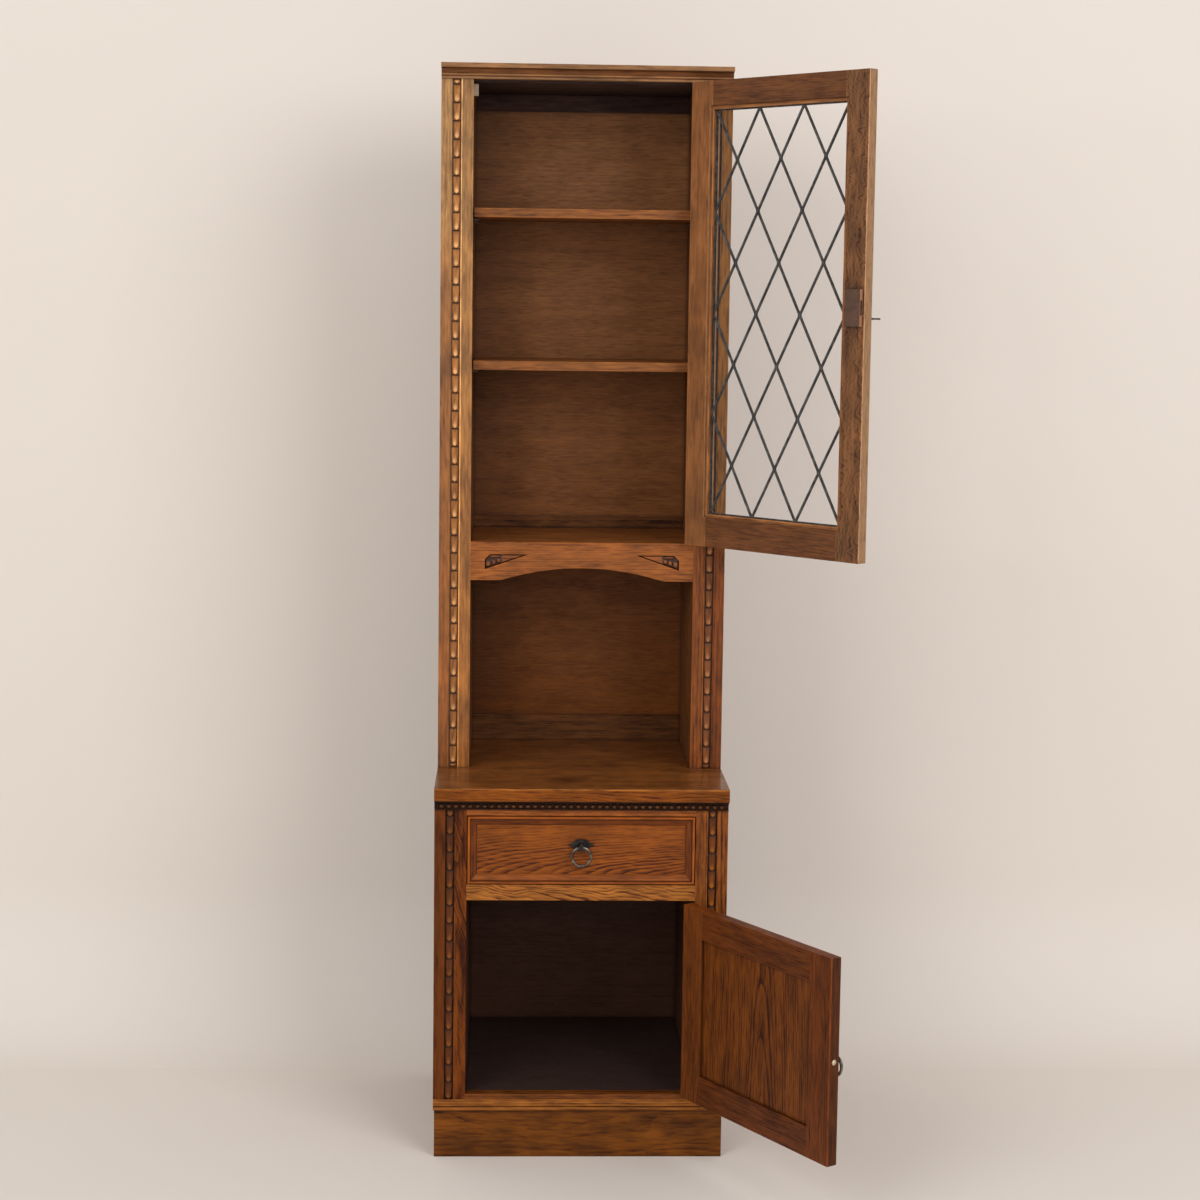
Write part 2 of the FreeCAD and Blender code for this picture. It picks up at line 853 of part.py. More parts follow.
def hinge_leaf(name, sign, foot, barrels):
    """A leaf on one side of the gap, with its barrels round the axis and a bore for the pin."""
    plate_reach = span(sign, S.leaf_clearance, S.door_gap / 2)
    root = S.knuckle_radius + S.leaf_clearance * 2
    height = (foot, foot + S.hinge_length)
    pieces = [plank(f"{name}_plate", plate_reach, (root, root + S.hinge_leaf_depth), height)]
    for number, (low, high) in enumerate(barrels):
        pieces.append(plank(f"{name}_web_{number}", plate_reach, (0, root), (low, high)))
        pieces.append(upright_rod(f"{name}_barrel_{number}", S.knuckle_radius, low, high))
    bore = upright_rod(f"{name}_bore", S.pin_radius + S.pin_clearance, *height)
    return cut(name, fuse(name, *pieces), bore)


def hinge(name, foot):
    """The frame leaf, the door leaf and the pin of one hinge."""
    third = S.hinge_length / 3
    head = foot + S.hinge_length
    gap = S.knuckle_clearance
    frame = hinge_leaf(f"{name}_frame", 1, foot, [(foot, foot + third), (head - third, head)])
    door = hinge_leaf(f"{name}_door", -1, foot, [(foot + third + gap, head - third - gap)])
    shaft = upright_rod(f"{name}_shaft", S.pin_radius, foot, head)
    foot_cap = upright_rod(f"{name}_foot_cap", S.pin_head_radius, foot - S.pin_head_height, foot)
    head_cap = upright_rod(f"{name}_head_cap", S.pin_head_radius, head, head + S.pin_head_height)
    return frame, door, fuse(f"{name}_pin", shaft, foot_cap, head_cap)


def hinges():
    frame_leaves, pins = [], []
    doors = (("glazed", glazed_door, glazed_foot, glazed_head, S.hinge_inset),
             ("cupboard", cupboard_door, cupboard_foot, cupboard_head, S.cupboard_hinge_inset))
    for kind, door, foot, head, inset in doors:
        door_leaves = []
        for end, middle in (("lower", foot + inset), ("upper", head - inset)):
            frame, leaf, pin = hinge(f"{kind}_{end}_hinge", middle - S.hinge_length / 2)
            for piece in (frame, pin):
                bind(piece, "Placement.Base.x", hinge_x)
                bind(piece, "Placement.Base.y", door.hinge_y)
            frame_leaves.append(frame)
            pins.append(pin)
            door_leaves.append(leaf)
        leaves = swing(group(f"{kind}_door_hinge_leaves", door_leaves), door)
        keep(f"{kind}_door_hinge_leaves", leaves)
    keep("hinge_frame_leaves", group("hinge_frame_leaves", frame_leaves))
    keep("hinge_pins", group("hinge_pins", pins))


# Mitred moulding round a sunk field

def mitred_strip(name, length, face):
    """One strip along X, its outer edge at height zero, its ends cut at 45 degrees."""
    body = new_body(name)
    width = S.frame_moulding_width
    bead = S.frame_moulding_bead
    crest = face - S.field_recess - S.frame_moulding_proud
    shoulder = crest + S.bead_roundness * bead
    section = new_sketch(body, "YZ_Plane")
    draw(section, [
        (face, 0),
        (shoulder, 0, -bead_radius(bead)),
        (shoulder, bead),
        (shoulder + S.frame_moulding_quirk_depth, bead + S.frame_moulding_quirk_width),
        (face - S.frame_moulding_lip, width - S.frame_moulding_lip),
        (face, width),
    ])
    pad(body, section, length, side_type="Symmetric")
    ends = new_sketch(body, "XZ_Plane")
    for sign in (-1, 1):
        draw(ends, [
            (sign * length / 2, 0),
            (sign * (length / 2 - width), width),
            (sign * length / 2, width),
        ])
    pocket(body, ends)
    return body


def mitred_frame(name, left, right, foot, head, face):
    """Four strips round a rectangle, set on the field's face."""
    strips = []
    places = (("foot", right - left, (left + right) / 2, foot, 0),
              ("right", head - foot, right, (foot + head) / 2, -90),
              ("head", right - left, (left + right) / 2, head, 180),
              ("left", head - foot, left, (foot + head) / 2, 90))
    for place, length, x, z, turn in places:
        strip = mitred_strip(f"{name}_{place}", length, face)
        strip.Placement.Rotation = FreeCAD.Rotation(FreeCAD.Vector(0, 1, 0), turn)
        bind(strip, "Placement.Base.x", x)
        bind(strip, "Placement.Base.z", z)
        strips.append(strip)
    return group(name, strips)


# Ring pulls

def pull_plate(name, x, face, pivot):
    """A fluted backplate, and an upright eye for the ring."""
    body = new_body(name)
    half = S.plate_width / 2
    shoulder, waist = S.plate_shoulder, S.plate_waist
    flute = S.plate_flute_radius
    crown = shoulder / 3
    shoulder_rise = pivot + S.plate_shoulder_rise
    crown_rise = pivot + S.plate_rise
    outline = new_sketch(body, "XZ_Plane", -face)
    draw(outline, [
        (x - waist, pivot - S.plate_drop),
        (x + waist, pivot - S.plate_drop),
        (x + shoulder, pivot - S.plate_shoulder_drop),
        (x + half, pivot + S.plate_lobe_rise),
        (x + shoulder, shoulder_rise, flute),
        (x + crown, crown_rise, flute),
        (x - crown, crown_rise, flute),
        (x - shoulder, shoulder_rise),
        (x - half, pivot + S.plate_lobe_rise),
        (x - shoulder, pivot - S.plate_shoulder_drop),
    ])
    pad(body, outline, S.plate_thickness)
    post = new_sketch(body, "XZ_Plane", -face)
    low, high = pivot - S.post_half_height, pivot + S.post_half_height
    draw(post, [
        (x - S.post_half_width, low, S.post_round),
        (x + S.post_half_width, low),
        (x + S.post_half_width, high, S.post_round),
        (x - S.post_half_width, high),
    ])
    pad(body, post, S.post_reach)
    eye = new_sketch(body, "YZ_Plane")
    draw_circle(eye, face - S.ring_standoff, pivot, S.ring_eye_radius)
    pocket(body, eye)
    return keep(name, body)


def pull_ring(name, x, face, pivot):
    """A wire ring that hangs in the post's eye."""
    body = new_body(name)
    ring = body.newObject("PartDesign::AdditiveTorus", f"{name}_wire")
    bind(ring, "Radius1", S.ring_radius)
    bind(ring, "Radius2", S.ring_wire_radius)
    ring.Placement.Rotation = FreeCAD.Rotation(FreeCAD.Vector(1, 0, 0), 90)
    for letter, value in zip("xyz", (x, face - S.ring_standoff, pivot - S.ring_radius)):
        bind(ring, f"Placement.Base.{letter}", value)
    return keep(name, body)


# Drawer

def drawer():
    half = opening_half - S.drawer_gap
    foot, head = drawer_foot + S.drawer_gap, drawer_top - S.drawer_gap
    field = base_front + S.field_recess
    front_back = field + S.drawer_front_thickness
    rear = front_back + S.drawer_side_length
    side_outer = lining_face - S.drawer_side_clearance
    side_inner = side_outer - S.drawer_side_thickness
    side_foot = drawer_foot + S.drawer_running_clearance
    side_head = side_foot + S.drawer_side_height
    bottom_foot = side_foot + S.drawer_bottom_rise
    bottom_head = bottom_foot + S.drawer_bottom_thickness
    groove_reach = side_inner + S.drawer_groove_depth
    groove = (bottom_foot, bottom_head)

    front = plank("drawer_front_board", (-half, half), (field, front_back), (foot, head))
    groove_depth = (front_back - S.drawer_groove_depth, front_back)
    slot = plank("drawer_front_groove", (-groove_reach, groove_reach), groove_depth, groove)
    keep("drawer_front", cut("drawer_front", front, slot))
    keep("drawer_moulding", mitred_frame("drawer_moulding", -half, half, foot, head, field))

    sides = []
    depth = (front_back, rear)
    for side, sign in SIDES:
        board_reach = span(sign, side_inner, side_outer)
        board = plank(f"drawer_{side}_board", board_reach, depth, (side_foot, side_head))
        slot = plank(f"drawer_{side}_groove", span(sign, side_inner, groove_reach), depth, groove)
        sides.append(cut(f"drawer_{side}_side", board, slot))
    keep("drawer_sides", group("drawer_sides", sides))
    back_depth = (rear - S.drawer_side_thickness, rear)
    back = plank("drawer_back", (-side_inner, side_inner), back_depth, (bottom_head, side_head))
    keep("drawer_back", back)
    edge = groove_reach - S.drawer_groove_clearance
    bottom_depth = (groove_depth[0] + S.drawer_groove_clearance, rear)
    keep("drawer_bottom", plank("drawer_bottom", (-edge, edge), bottom_depth, groove))

    pivot = (foot + head) / 2 + S.drawer_pull_rise
    pull_plate("drawer_pull_plate", 0, field, pivot)
    pull_ring("drawer_ring", 0, field, pivot)


# Cupboard door, drawn about its hinge axis

def cupboard_opening():
    """The opening inside the frame: left, right, foot and head."""
    left = door_free_edge + S.cupboard_stile_width
    right = door_hinge_edge - S.cupboard_stile_width
    return left, right, cupboard_foot + S.cupboard_rail_width, cupboard_head - S.cupboard_rail_width


def catch_rod(name):
    """The round bar of the ball catch, let in from the door's free edge."""
    place = (door_free_edge, (door_face + door_inner_face) / 2, (cupboard_foot + cupboard_head) / 2)
    return rod(name, S.catch_radius, S.catch_length, place, (0, 1, 0), 90)


def cupboard_frame():
    """Stiles and rails, grooved for the panel, the rails with stub tenons in the grooves."""
    left, right, foot, head = cupboard_opening()
    depth = S.panel_groove_depth
    thick = (door_face, door_inner_face)
    slot = (field_face, field_face + S.panel_thickness)
    tall = (cupboard_foot, cupboard_head)

    hinge_board = plank("cupboard_hinge_board", (right, door_hinge_edge), thick, tall)
    hinge_slot = plank("cupboard_hinge_groove", (right, right + depth), slot, tall)
    lock_board = plank("cupboard_lock_board", (door_free_edge, left), thick, tall)
    lock_slot = plank("cupboard_lock_groove", (left - depth, left), slot, tall)
    stiles = [cut("cupboard_hinge_stile", hinge_board, hinge_slot),
              cut("cupboard_lock_stile", lock_board, lock_slot, catch_rod("catch_hole"))]
    keep("cupboard_door_stiles", swing(group("cupboard_door_stiles", stiles), cupboard_door))

    rails = []
    shoulders = (left, right)
    tenons = (left - depth, right + depth)
    for end, rail_tall, groove in (("lower", (cupboard_foot, foot), (foot - depth, foot)),
                                   ("upper", (head, cupboard_head), (head, head + depth))):
        board = plank(f"cupboard_{end}_board", shoulders, thick, rail_tall)
        tenon = plank(f"cupboard_{end}_tenon", tenons, slot, rail_tall)
        rail_slot = plank(f"cupboard_{end}_groove", tenons, slot, groove)
        rails.append(cut(f"cupboard_{end}_rail", fuse(f"cupboard_{end}_rail", board, tenon), rail_slot))
    keep("cupboard_door_rails", swing(group("cupboard_door_rails", rails), cupboard_door))


def cupboard_panel():
    left, right, foot, head = cupboard_opening()
    edge = S.panel_groove_depth - S.panel_edge_clearance
    depth = (field_face, field_face + S.panel_thickness)
    board = plank("cupboard_panel_board", (left - edge, right + edge), depth, (foot - edge, head + edge))
    keep("cupboard_door_panel", swing(group("cupboard_door_panel", [board]), cupboard_door))
    frame = mitred_frame("cupboard_door_moulding", left, right, foot, head, field_face)
    keep("cupboard_door_moulding", swing(frame, cupboard_door))


def cupboard_fittings():
    x = door_free_edge + S.cupboard_pull_inset
    pivot = (cupboard_foot + cupboard_head) / 2 + S.cupboard_pull_rise
    ball_catch()
    swing(pull_plate("cupboard_pull_plate", x, door_face, pivot), cupboard_door)
    swing(pull_ring("cupboard_ring", x, door_face, pivot), cupboard_door)


def ball_catch():
    """A barrel let into the free edge, with the cap of a sprung ball showing."""
    ball = doc.addObject("Part::Sphere", "catch_ball")
    bind(ball, "Radius", S.catch_ball_radius)
    bind(ball, "Placement.Base.x", door_free_edge - S.catch_ball_reach + S.catch_ball_radius)
    bind(ball, "Placement.Base.y", (door_face + door_inner_face) / 2)
    bind(ball, "Placement.Base.z", (cupboard_foot + cupboard_head) / 2)
    catch = fuse("cupboard_ball_catch", catch_rod("catch_barrel"), ball)
    keep("cupboard_ball_catch", swing(catch, cupboard_door))


# Glazed door, drawn about its hinge axis

def glazed_opening():
    """The sight opening: left, right, foot and head."""
    left = door_free_edge + S.glazed_stile_width
    right = door_hinge_edge - S.glazed_stile_width
    return left, right, glazed_foot + S.glazed_bottom_rail, glazed_head - S.glazed_top_rail


def lock_depths():
    """The lock case's front and back faces: let into the stile a little, and proud of it."""
    return door_inner_face - S.lock_let_in, door_inner_face + S.lock_proud


def bolt_middle():
    """The depth of the bolt's middle plane, just behind the frame when the door is shut."""
    return door_inner_face + S.lock_proud / 2


def lock_place():
    """The lock's left and right edges, foot and head, and the key's place."""
    left = door_free_edge + S.lock_edge_margin
    middle = (glazed_foot + glazed_head) / 2
    centre = middle + S.lock_rise
    key_x = door_free_edge + S.key_edge_distance
    return left, left + S.lock_width, centre - S.lock_height / 2, centre + S.lock_height / 2, key_x, middle


def bolt_block(name, left, right, spare):
    """The bolt's section run from left to right, with room round it."""
    lock_left, lock_right, foot, head, key_x, key_z = lock_place()
    centre = (foot + head) / 2
    thick = S.bolt_thickness / 2 + spare
    tall = S.bolt_height / 2 + spare
    depth = (bolt_middle() - thick, bolt_middle() + thick)
    return plank(name, (left, right), depth, (centre - tall, centre + tall))


def key_bore(name, start, end):
    left, right, foot, head, key_x, key_z = lock_place()
    radius = S.key_radius + S.key_clearance
    return rod(name, radius, end - start, (key_x, start, key_z), (1, 0, 0), -90)


def glazed_frame():
    left, right, foot, head = glazed_opening()
    thick = (door_face, door_inner_face)
    rebate = (door_inner_face - S.rebate_depth, door_inner_face)
    lock_left, lock_right, lock_foot, lock_head, key_x, key_z = lock_place()
    sunk = (lock_depths()[0], door_inner_face)
    seat_tall = (foot - S.rebate_width, head + S.rebate_width)

    stiles = []
    for side, reach, seat in (("hinge", (right, door_hinge_edge), (right, right + S.rebate_width)),
                              ("lock", (door_free_edge, left), (left - S.rebate_width, left))):
        board = plank(f"glazed_{side}_board", reach, thick, (glazed_foot, glazed_head))
        tools = [plank(f"glazed_{side}_rebate", seat, rebate, seat_tall)]
        if side == "lock":
            tools.append(plank("lock_recess", (lock_left, lock_right), sunk, (lock_foot, lock_head)))
            tools.append(key_bore("stile_key_bore", door_face, sunk[0]))
        stiles.append(cut(f"glazed_{side}_stile", board, *tools))
    keep("glazed_door_stiles", swing(group("glazed_door_stiles", stiles), glazed_door))

    rails = []
    for end, tall, seat in (("lower", (glazed_foot, foot), (foot - S.rebate_width, foot)),
                            ("upper", (head, glazed_head), (head, head + S.rebate_width))):
        board = plank(f"glazed_{end}_board", (left, right), thick, tall)
        slot = plank(f"glazed_{end}_rebate", (left, right), rebate, seat)
        rails.append(cut(f"glazed_{end}_rail", board, slot))
    keep("glazed_door_rails", swing(group("glazed_door_rails", rails), glazed_door))


def glazing_beads():
    """Four square beads that hold the glass in its rebate."""
    left, right, foot, head = glazed_opening()
    glass_back = door_inner_face - S.rebate_depth + S.glass_thickness
    depth = (glass_back, glass_back + S.bead_height)
    edge = S.rebate_width
    strips = [
        plank("lower_bead", (left - edge, right + edge), depth, (foot - edge, foot)),
        plank("upper_bead", (left - edge, right + edge), depth, (head, head + edge)),
        plank("hinge_bead", (right, right + edge), depth, (foot, head)),
        plank("lock_bead", (left - edge, left), depth, (foot, head)),
    ]
    keep("glazing_beads", swing(group("glazing_beads", strips), glazed_door))


def flat_face(points):
    """A face standing in X and Z through the given points."""
    vectors = [FreeCAD.Vector(x, 0, z) for x, z in points]
    return Part.Face(Part.makePolygon(vectors + vectors[:1]))


def rectangle(left, right, foot, head):
    return flat_face([(left, foot), (right, foot), (right, head), (left, head)])


def diamonds(margin):
    """Every diamond of the leaded light, drawn in by a margin on each edge."""
    left, right, foot, head = (size.value for size in glazed_opening())
    across = (right - left) / DIAMOND_COLUMNS / 2
    along = (head - foot) / DIAMOND_ROWS / 2
    slant = math.hypot(across, along)
    half_width_in = across - margin * slant / along
    half_height_in = along - margin * slant / across
    cells = []
    for column in range(2 * DIAMOND_COLUMNS + 1):
        for row_number in range(2 * DIAMOND_ROWS + 1):
            if (column + row_number) % 2:
                x, z = left + column * across, foot + row_number * along
                cells.append(flat_face([(x - half_width_in, z), (x, z - half_height_in),
                                        (x + half_width_in, z), (x, z + half_height_in)]))
    return cells


def run_back(face, start, thickness):
    """A flat face set at a depth and given a thickness."""
    return face.translated(FreeCAD.Vector(0, start, 0)).extrude(FreeCAD.Vector(0, thickness, 0))


def leaded_light():
    """Diamond quarries of glass in a net of H-section lead cames."""
    left, right, foot, head = (size.value for size in glazed_opening())
    glass_front = (door_inner_face - S.rebate_depth).value
    thickness = S.glass_thickness.value
    flange = S.came_flange.value
    clear = S.came_clearance.value
    border = S.came_border.value
    edge = S.rebate_width.value - S.glass_edge_clearance.value
    heart = S.came_heart.value / 2

    pane = rectangle(left - edge, right + edge, foot - edge, head + edge)
    sight = rectangle(left + clear, right - clear, foot + clear, head - clear)
    daylight = rectangle(left + border, right - border, foot + border, head - border)
    quarries = [run_back(cell.common(pane), glass_front, thickness) for cell in diamonds(heart)]
    hearts = run_back(sight.cut(diamonds(heart)), glass_front, thickness)
    net = sight.cut([cell.common(daylight) for cell in diamonds(S.came_width.value / 2)])
    front_flange = run_back(net, glass_front - flange, flange)
    back_flange = run_back(net, glass_front + thickness, flange)

    glass = keep("glass_quarries", doc.addObject("Part::Feature", "glass_quarries"))
    glass.Shape = Part.makeCompound([solid for quarry in quarries for solid in quarry.Solids])
    cames = keep("lead_cames", doc.addObject("Part::Feature", "lead_cames"))
    cames.Shape = front_flange.multiFuse([hearts, back_flange]).removeSplitter()
    for piece in (glass, cames):
        swing(piece, glazed_door)


def lock_and_key():
    left, right, foot, head, key_x, key_z = lock_place()
    sunk = lock_depths()
    blank = plank("lock_blank", (left, right), sunk, (foot, head))
    bolt_left = left + S.bolt_clearance
    bolt_right = bolt_left + S.bolt_length
    channel = bolt_block("lock_channel", left, bolt_right + S.bolt_clearance, S.bolt_clearance)
    bore = key_bore("lock_key_bore", sunk[0], sunk[0] + S.key_depth_in_lock + S.bolt_clearance)
    keep("lock_case", swing(cut("lock_case", blank, channel, bore), glazed_door))
    bolt = bolt_block("lock_bolt_bar", bolt_left, bolt_right, 0)
    keep("lock_bolt", swing(group("lock_bolt", [bolt]), glazed_door))

    start = door_face - S.key_shank_out
    shank_length = sunk[0] + S.key_depth_in_lock - start
    shank = rod("key_shank", S.key_radius, shank_length, (key_x, start, key_z), (1, 0, 0), -90)
    collar_place = (key_x, door_face - S.key_collar_gap - S.key_collar_height, key_z)
    collar = rod("key_collar", S.key_collar_radius, S.key_collar_height, collar_place, (1, 0, 0), -90)
    keep("key", swing(fuse("key", shank, collar, key_bow(key_x, key_z, start)), glazed_door))


def draw_bow(sketch, key_x, near, far, half):
    """A level loop with well rounded corners."""
    corner = (near - far) * S.key_bow_roundness
    draw(sketch, [
        (key_x - half + corner, far),
        (key_x + half - corner, far, corner),
        (key_x + half, far + corner),
        (key_x + half, near - corner, corner),
        (key_x + half - corner, near),
        (key_x - half + corner, near, corner),
        (key_x - half, near - corner),
        (key_x - half, far + corner, corner),
    ])


def key_bow(key_x, key_z, start):
    """The flat loop of the key, lying level, with its hole."""
    body = new_body("key_bow")
    half, rim = S.key_bow_width / 2, S.key_bow_rim
    far = start - S.key_bow_length
    level = key_z - S.key_bow_thickness / 2
    loop = new_sketch(body, "XY_Plane", level)
    draw_bow(loop, key_x, start, far, half)
    pad(body, loop, S.key_bow_thickness)
    hole = new_sketch(body, "XY_Plane", level)
    draw_bow(hole, key_x, start - rim, far + rim, half - rim)
    pocket(body, hole)
    return body


def write_parts():
    """Checks every object, then writes each sub-part to its own file."""
    doc.recompute()
    for thing in doc.Objects:
        if "Invalid" in thing.State or "Error" in thing.State:
            raise RuntimeError(f"{thing.Name} failed: {thing.State}")
    for name, thing in NODES.items():
        if thing.Shape.isNull() or not thing.Shape.isValid() or not thing.Shape.Solids:
            raise RuntimeError(f"{name} has no valid shape")
    os.makedirs("parts", exist_ok=True)
    for name, thing in NODES.items():
        thing.Shape.exportStep(f"parts/{name}.step")
    print(len(NODES), "sub-parts written")


base_stage()
display_stage()
hinges()
drawer()
cupboard_frame()
cupboard_panel()
cupboard_fittings()
glazed_frame()
glazing_beads()
leaded_light()
lock_and_key()
write_parts()
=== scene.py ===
import json
import math

import bpy
from mathutils import Matrix, Vector


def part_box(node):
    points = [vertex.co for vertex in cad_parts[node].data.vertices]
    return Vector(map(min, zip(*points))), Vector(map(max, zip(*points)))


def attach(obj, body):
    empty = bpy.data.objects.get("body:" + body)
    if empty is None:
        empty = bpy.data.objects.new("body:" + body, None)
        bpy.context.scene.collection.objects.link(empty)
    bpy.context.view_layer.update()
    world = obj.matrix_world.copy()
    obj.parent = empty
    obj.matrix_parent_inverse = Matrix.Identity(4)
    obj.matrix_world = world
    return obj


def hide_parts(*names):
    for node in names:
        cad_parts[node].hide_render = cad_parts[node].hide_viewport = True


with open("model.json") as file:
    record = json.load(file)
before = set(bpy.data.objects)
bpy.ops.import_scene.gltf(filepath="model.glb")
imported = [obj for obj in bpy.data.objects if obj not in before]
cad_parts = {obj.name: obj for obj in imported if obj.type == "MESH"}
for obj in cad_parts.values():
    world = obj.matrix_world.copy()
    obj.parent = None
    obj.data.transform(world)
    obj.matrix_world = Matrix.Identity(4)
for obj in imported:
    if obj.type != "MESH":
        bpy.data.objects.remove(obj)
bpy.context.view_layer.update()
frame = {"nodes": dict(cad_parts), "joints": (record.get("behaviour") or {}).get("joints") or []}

MM = 0.001
SIDES = (-1, 1)
TO_LEFT = (-1.0, 0.0, 0.0)
TO_RIGHT = (1.0, 0.0, 0.0)
TO_FRONT = (0.0, -1.0, 0.0)
UP = (0.0, 0.0, 1.0)
FRONT_AND_UP = (0.0, -math.sqrt(0.5), math.sqrt(0.5))


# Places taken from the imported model

class Leaf:
    """A door's own axes: x runs from the hinge, y goes back through the shut door, z is up."""

    def __init__(self, swing):
        joint = next(joint for joint in frame["joints"] if joint["name"] == swing)
        self.turn = math.radians(-joint["range_deg"][0])
        hinge = Vector(joint["pos_m"])
        self.matrix = Matrix.Translation((hinge.x, hinge.y, 0.0)) @ Matrix.Rotation(self.turn, 4, "Z")

    def local_box(self, node):
        """Lowest and highest corner of a node in the door's own axes."""
        back = self.matrix.inverted()
        points = [back @ corner.co for corner in frame["nodes"][node].data.vertices]
        axes = list(zip(*points))
        return Vector(map(min, axes)), Vector(map(max, axes))

    def half_size(self, node):
        """Half the size of a node, as it lies in the door."""
        low, high = self.local_box(node)
        return (high - low) / 2

    def free_edge(self):
        """The way that the door's free edge looks."""
        return self.matrix.to_3x3() @ Vector(TO_LEFT)


glazed_door = Leaf("glazed_door_swing")
cupboard_door = Leaf("cupboard_door_swing")
base_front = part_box("base_left_stile")[0].y
display_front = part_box("display_left_stile")[0].y


# Building materials

# Sockets of Blender's mix node when it mixes colours
MIX_INPUTS = (0, 6, 7)
MIX_RESULT = 2
# Rays that a shader sends out to find edges and corners
EDGE_RAYS = 4
# Share of open space round a point in a tight corner and on an open face
CORNER_SPACE = 0.40
FACE_SPACE = 0.92
# Cosines from which a face begins to look in a direction, and fully does
FACING_START = 0.7
FACING_FULL = 0.9
# Cosines between true and eased normals on a sharp edge and on a flat face
EDGE_COSINE = 0.80
FLAT_COSINE = 0.99


class Graph:
    """A material's node tree, with short ways to add and join nodes."""

    def __init__(self, name):
        self.material = bpy.data.materials.new(name)
        self.material.use_nodes = True
        self.tree = self.material.node_tree
        self.shader = self.tree.nodes["Principled BSDF"]
        self.output = self.tree.nodes["Material Output"]

    def feed(self, socket, value):
        """Sets a socket to a constant, or joins another node's output to it."""
        if isinstance(value, bpy.types.NodeSocket):
            self.tree.links.new(value, socket)
        else:
            socket.default_value = value

    def add(self, kind, inputs, output=0, **settings):
        """Adds a node, feeds its inputs and gives back one of its outputs."""
        made = self.tree.nodes.new(kind)
        for setting, value in settings.items():
            setattr(made, setting, value)
        for socket, value in inputs.items():
            self.feed(made.inputs[socket], value)
        return made.outputs[output]

    def math(self, operation, *values):
        return self.add("ShaderNodeMath", dict(enumerate(values)), operation=operation)

    def both(self, first, second):
        """1 where both masks are 1."""
        return self.math("MULTIPLY", first, second)

    def other(self, mask):
        """The mask turned round: 1 where it is 0."""
        return self.math("SUBTRACT", 1.0, mask)

    def vector(self, x, y, z):
        return self.add("ShaderNodeCombineXYZ", {"X": x, "Y": y, "Z": z})

    def parts(self, vector):
        return self.add("ShaderNodeSeparateXYZ", {0: vector}).node.outputs

    def place(self):
        """Where a point lies in the cabinet's frame."""
        return self.add("ShaderNodeTexCoord", {}, "Object")

    def place_parts(self):
        """The x, y and z of a point in the cabinet's frame."""
        return self.parts(self.place())

    def noise(self, place, scale=1.0, detail=2.0):
        return self.add("ShaderNodeTexNoise", {"Vector": place, "Scale": scale, "Detail": detail}, "Fac")

    def chance(self, number):
        """A random value from 0 to 1 that stays the same for the same number."""
        return self.add("ShaderNodeTexWhiteNoise", {"W": number}, "Value", noise_dimensions="1D")

    def span(self, value, low, high, new_low=0.0, new_high=1.0):
        """Stretches the part of a value between low and high, held at both ends."""
        inputs = {"Value": value, "From Min": low, "From Max": high, "To Min": new_low, "To Max": new_high}
        return self.add("ShaderNodeMapRange", inputs, "Result", clamp=True)

    def fall(self, value, low, high):
        """1 up to low and 0 from high on."""
        return self.span(value, low, high, 1.0, 0.0)

    def mix(self, amount, first, second, blend="MIX"):
        inputs = dict(zip(MIX_INPUTS, (amount, first, second)))
        return self.add("ShaderNodeMix", inputs, MIX_RESULT, data_type="RGBA", blend_type=blend)

    def bump(self, height, strength, distance, normal=None):
        inputs = {"Strength": strength, "Distance": distance, "Height": height}
        if normal is not None:
            inputs["Normal"] = normal
        return self.add("ShaderNodeBump", inputs, "Normal")

    def soft_edges(self, radius):
        """Surface normals with the sharp edges eased."""
        return self.add("ShaderNodeBevel", {"Radius": radius}, "Normal", samples=EDGE_RAYS)

    def corners(self, distance):
        """1 in an inner corner, 0 out on an open face."""
        space = self.add("ShaderNodeAmbientOcclusion", {"Distance": distance}, "AO", samples=EDGE_RAYS)
        return self.fall(space, CORNER_SPACE, FACE_SPACE)

    def facing(self, direction):
        """1 on faces that look in a direction when the piece is at rest, 0 on the others."""
        normal = self.add("ShaderNodeTexCoord", {}, "Normal")
        return self.span(self.dot(normal, direction), FACING_START, FACING_FULL)

    def dot(self, first, second):
        return self.add("ShaderNodeVectorMath", {0: first, 1: second}, "Value", operation="DOT_PRODUCT")

    def edges(self, radius):
        """1 on a sharp outer or inner edge, 0 on a flat face."""
        normal = self.add("ShaderNodeNewGeometry", {}, "Normal")
        return self.fall(self.dot(normal, self.soft_edges(radius)), EDGE_COSINE, FLAT_COSINE)

    def finish(self, **inputs):
        for label, value in inputs.items():
            self.feed(self.shader.inputs[label.replace("_", " ")], value)
        return self.material


def colour(red, green, blue):
    return (red, green, blue, 1.0)


def seen(red, green, blue):
    """A colour given as it looks, 0 to 255, in the linear scale of the shaders."""
    return [(part / 255.0) ** 2.2 for part in (red, green, blue)]


# Shares of the oak's own tone
LIGHT_WOOD = (1.42, 1.47, 1.40)
DARK_WOOD = (0.27, 0.165, 0.11)
# The dark colour of real staining and of painted shade
STAINED_AND_SHADED_WOOD = (0.10, 0.075, 0.06)
SPECKS = (0.6, 0.58, 0.55)
# The tint of edges lightened by use and with a painted highlight
WEAR_AND_HIGHLIGHT_TINT = (2.6, 2.8, 3.0)
# Waves of the oak's noises to a metre, along and across the grain
STREAK_WAVES = (5.0, 55.0)
PORE_WAVES = (60.0, 700.0)
PATCH_WAVES = (14.0, 24.0)
WANDER_WAVES = (2.5, 9.0)
CURL_WAVES = (15.0, 32.0)
RIPPLE_WAVES = (62.0, 26.0)
# The fibres' waves along the grain as a share of those across it
FIBRE_LENGTH = 0.14
# How much each feature darkens the wood
EVEN_SHADE = 0.16
FIBRE_SHADE = 0.55
STREAK_SHADE = 0.8
PORE_SHADE = 0.14
RING_PORE_SHADE = 0.30
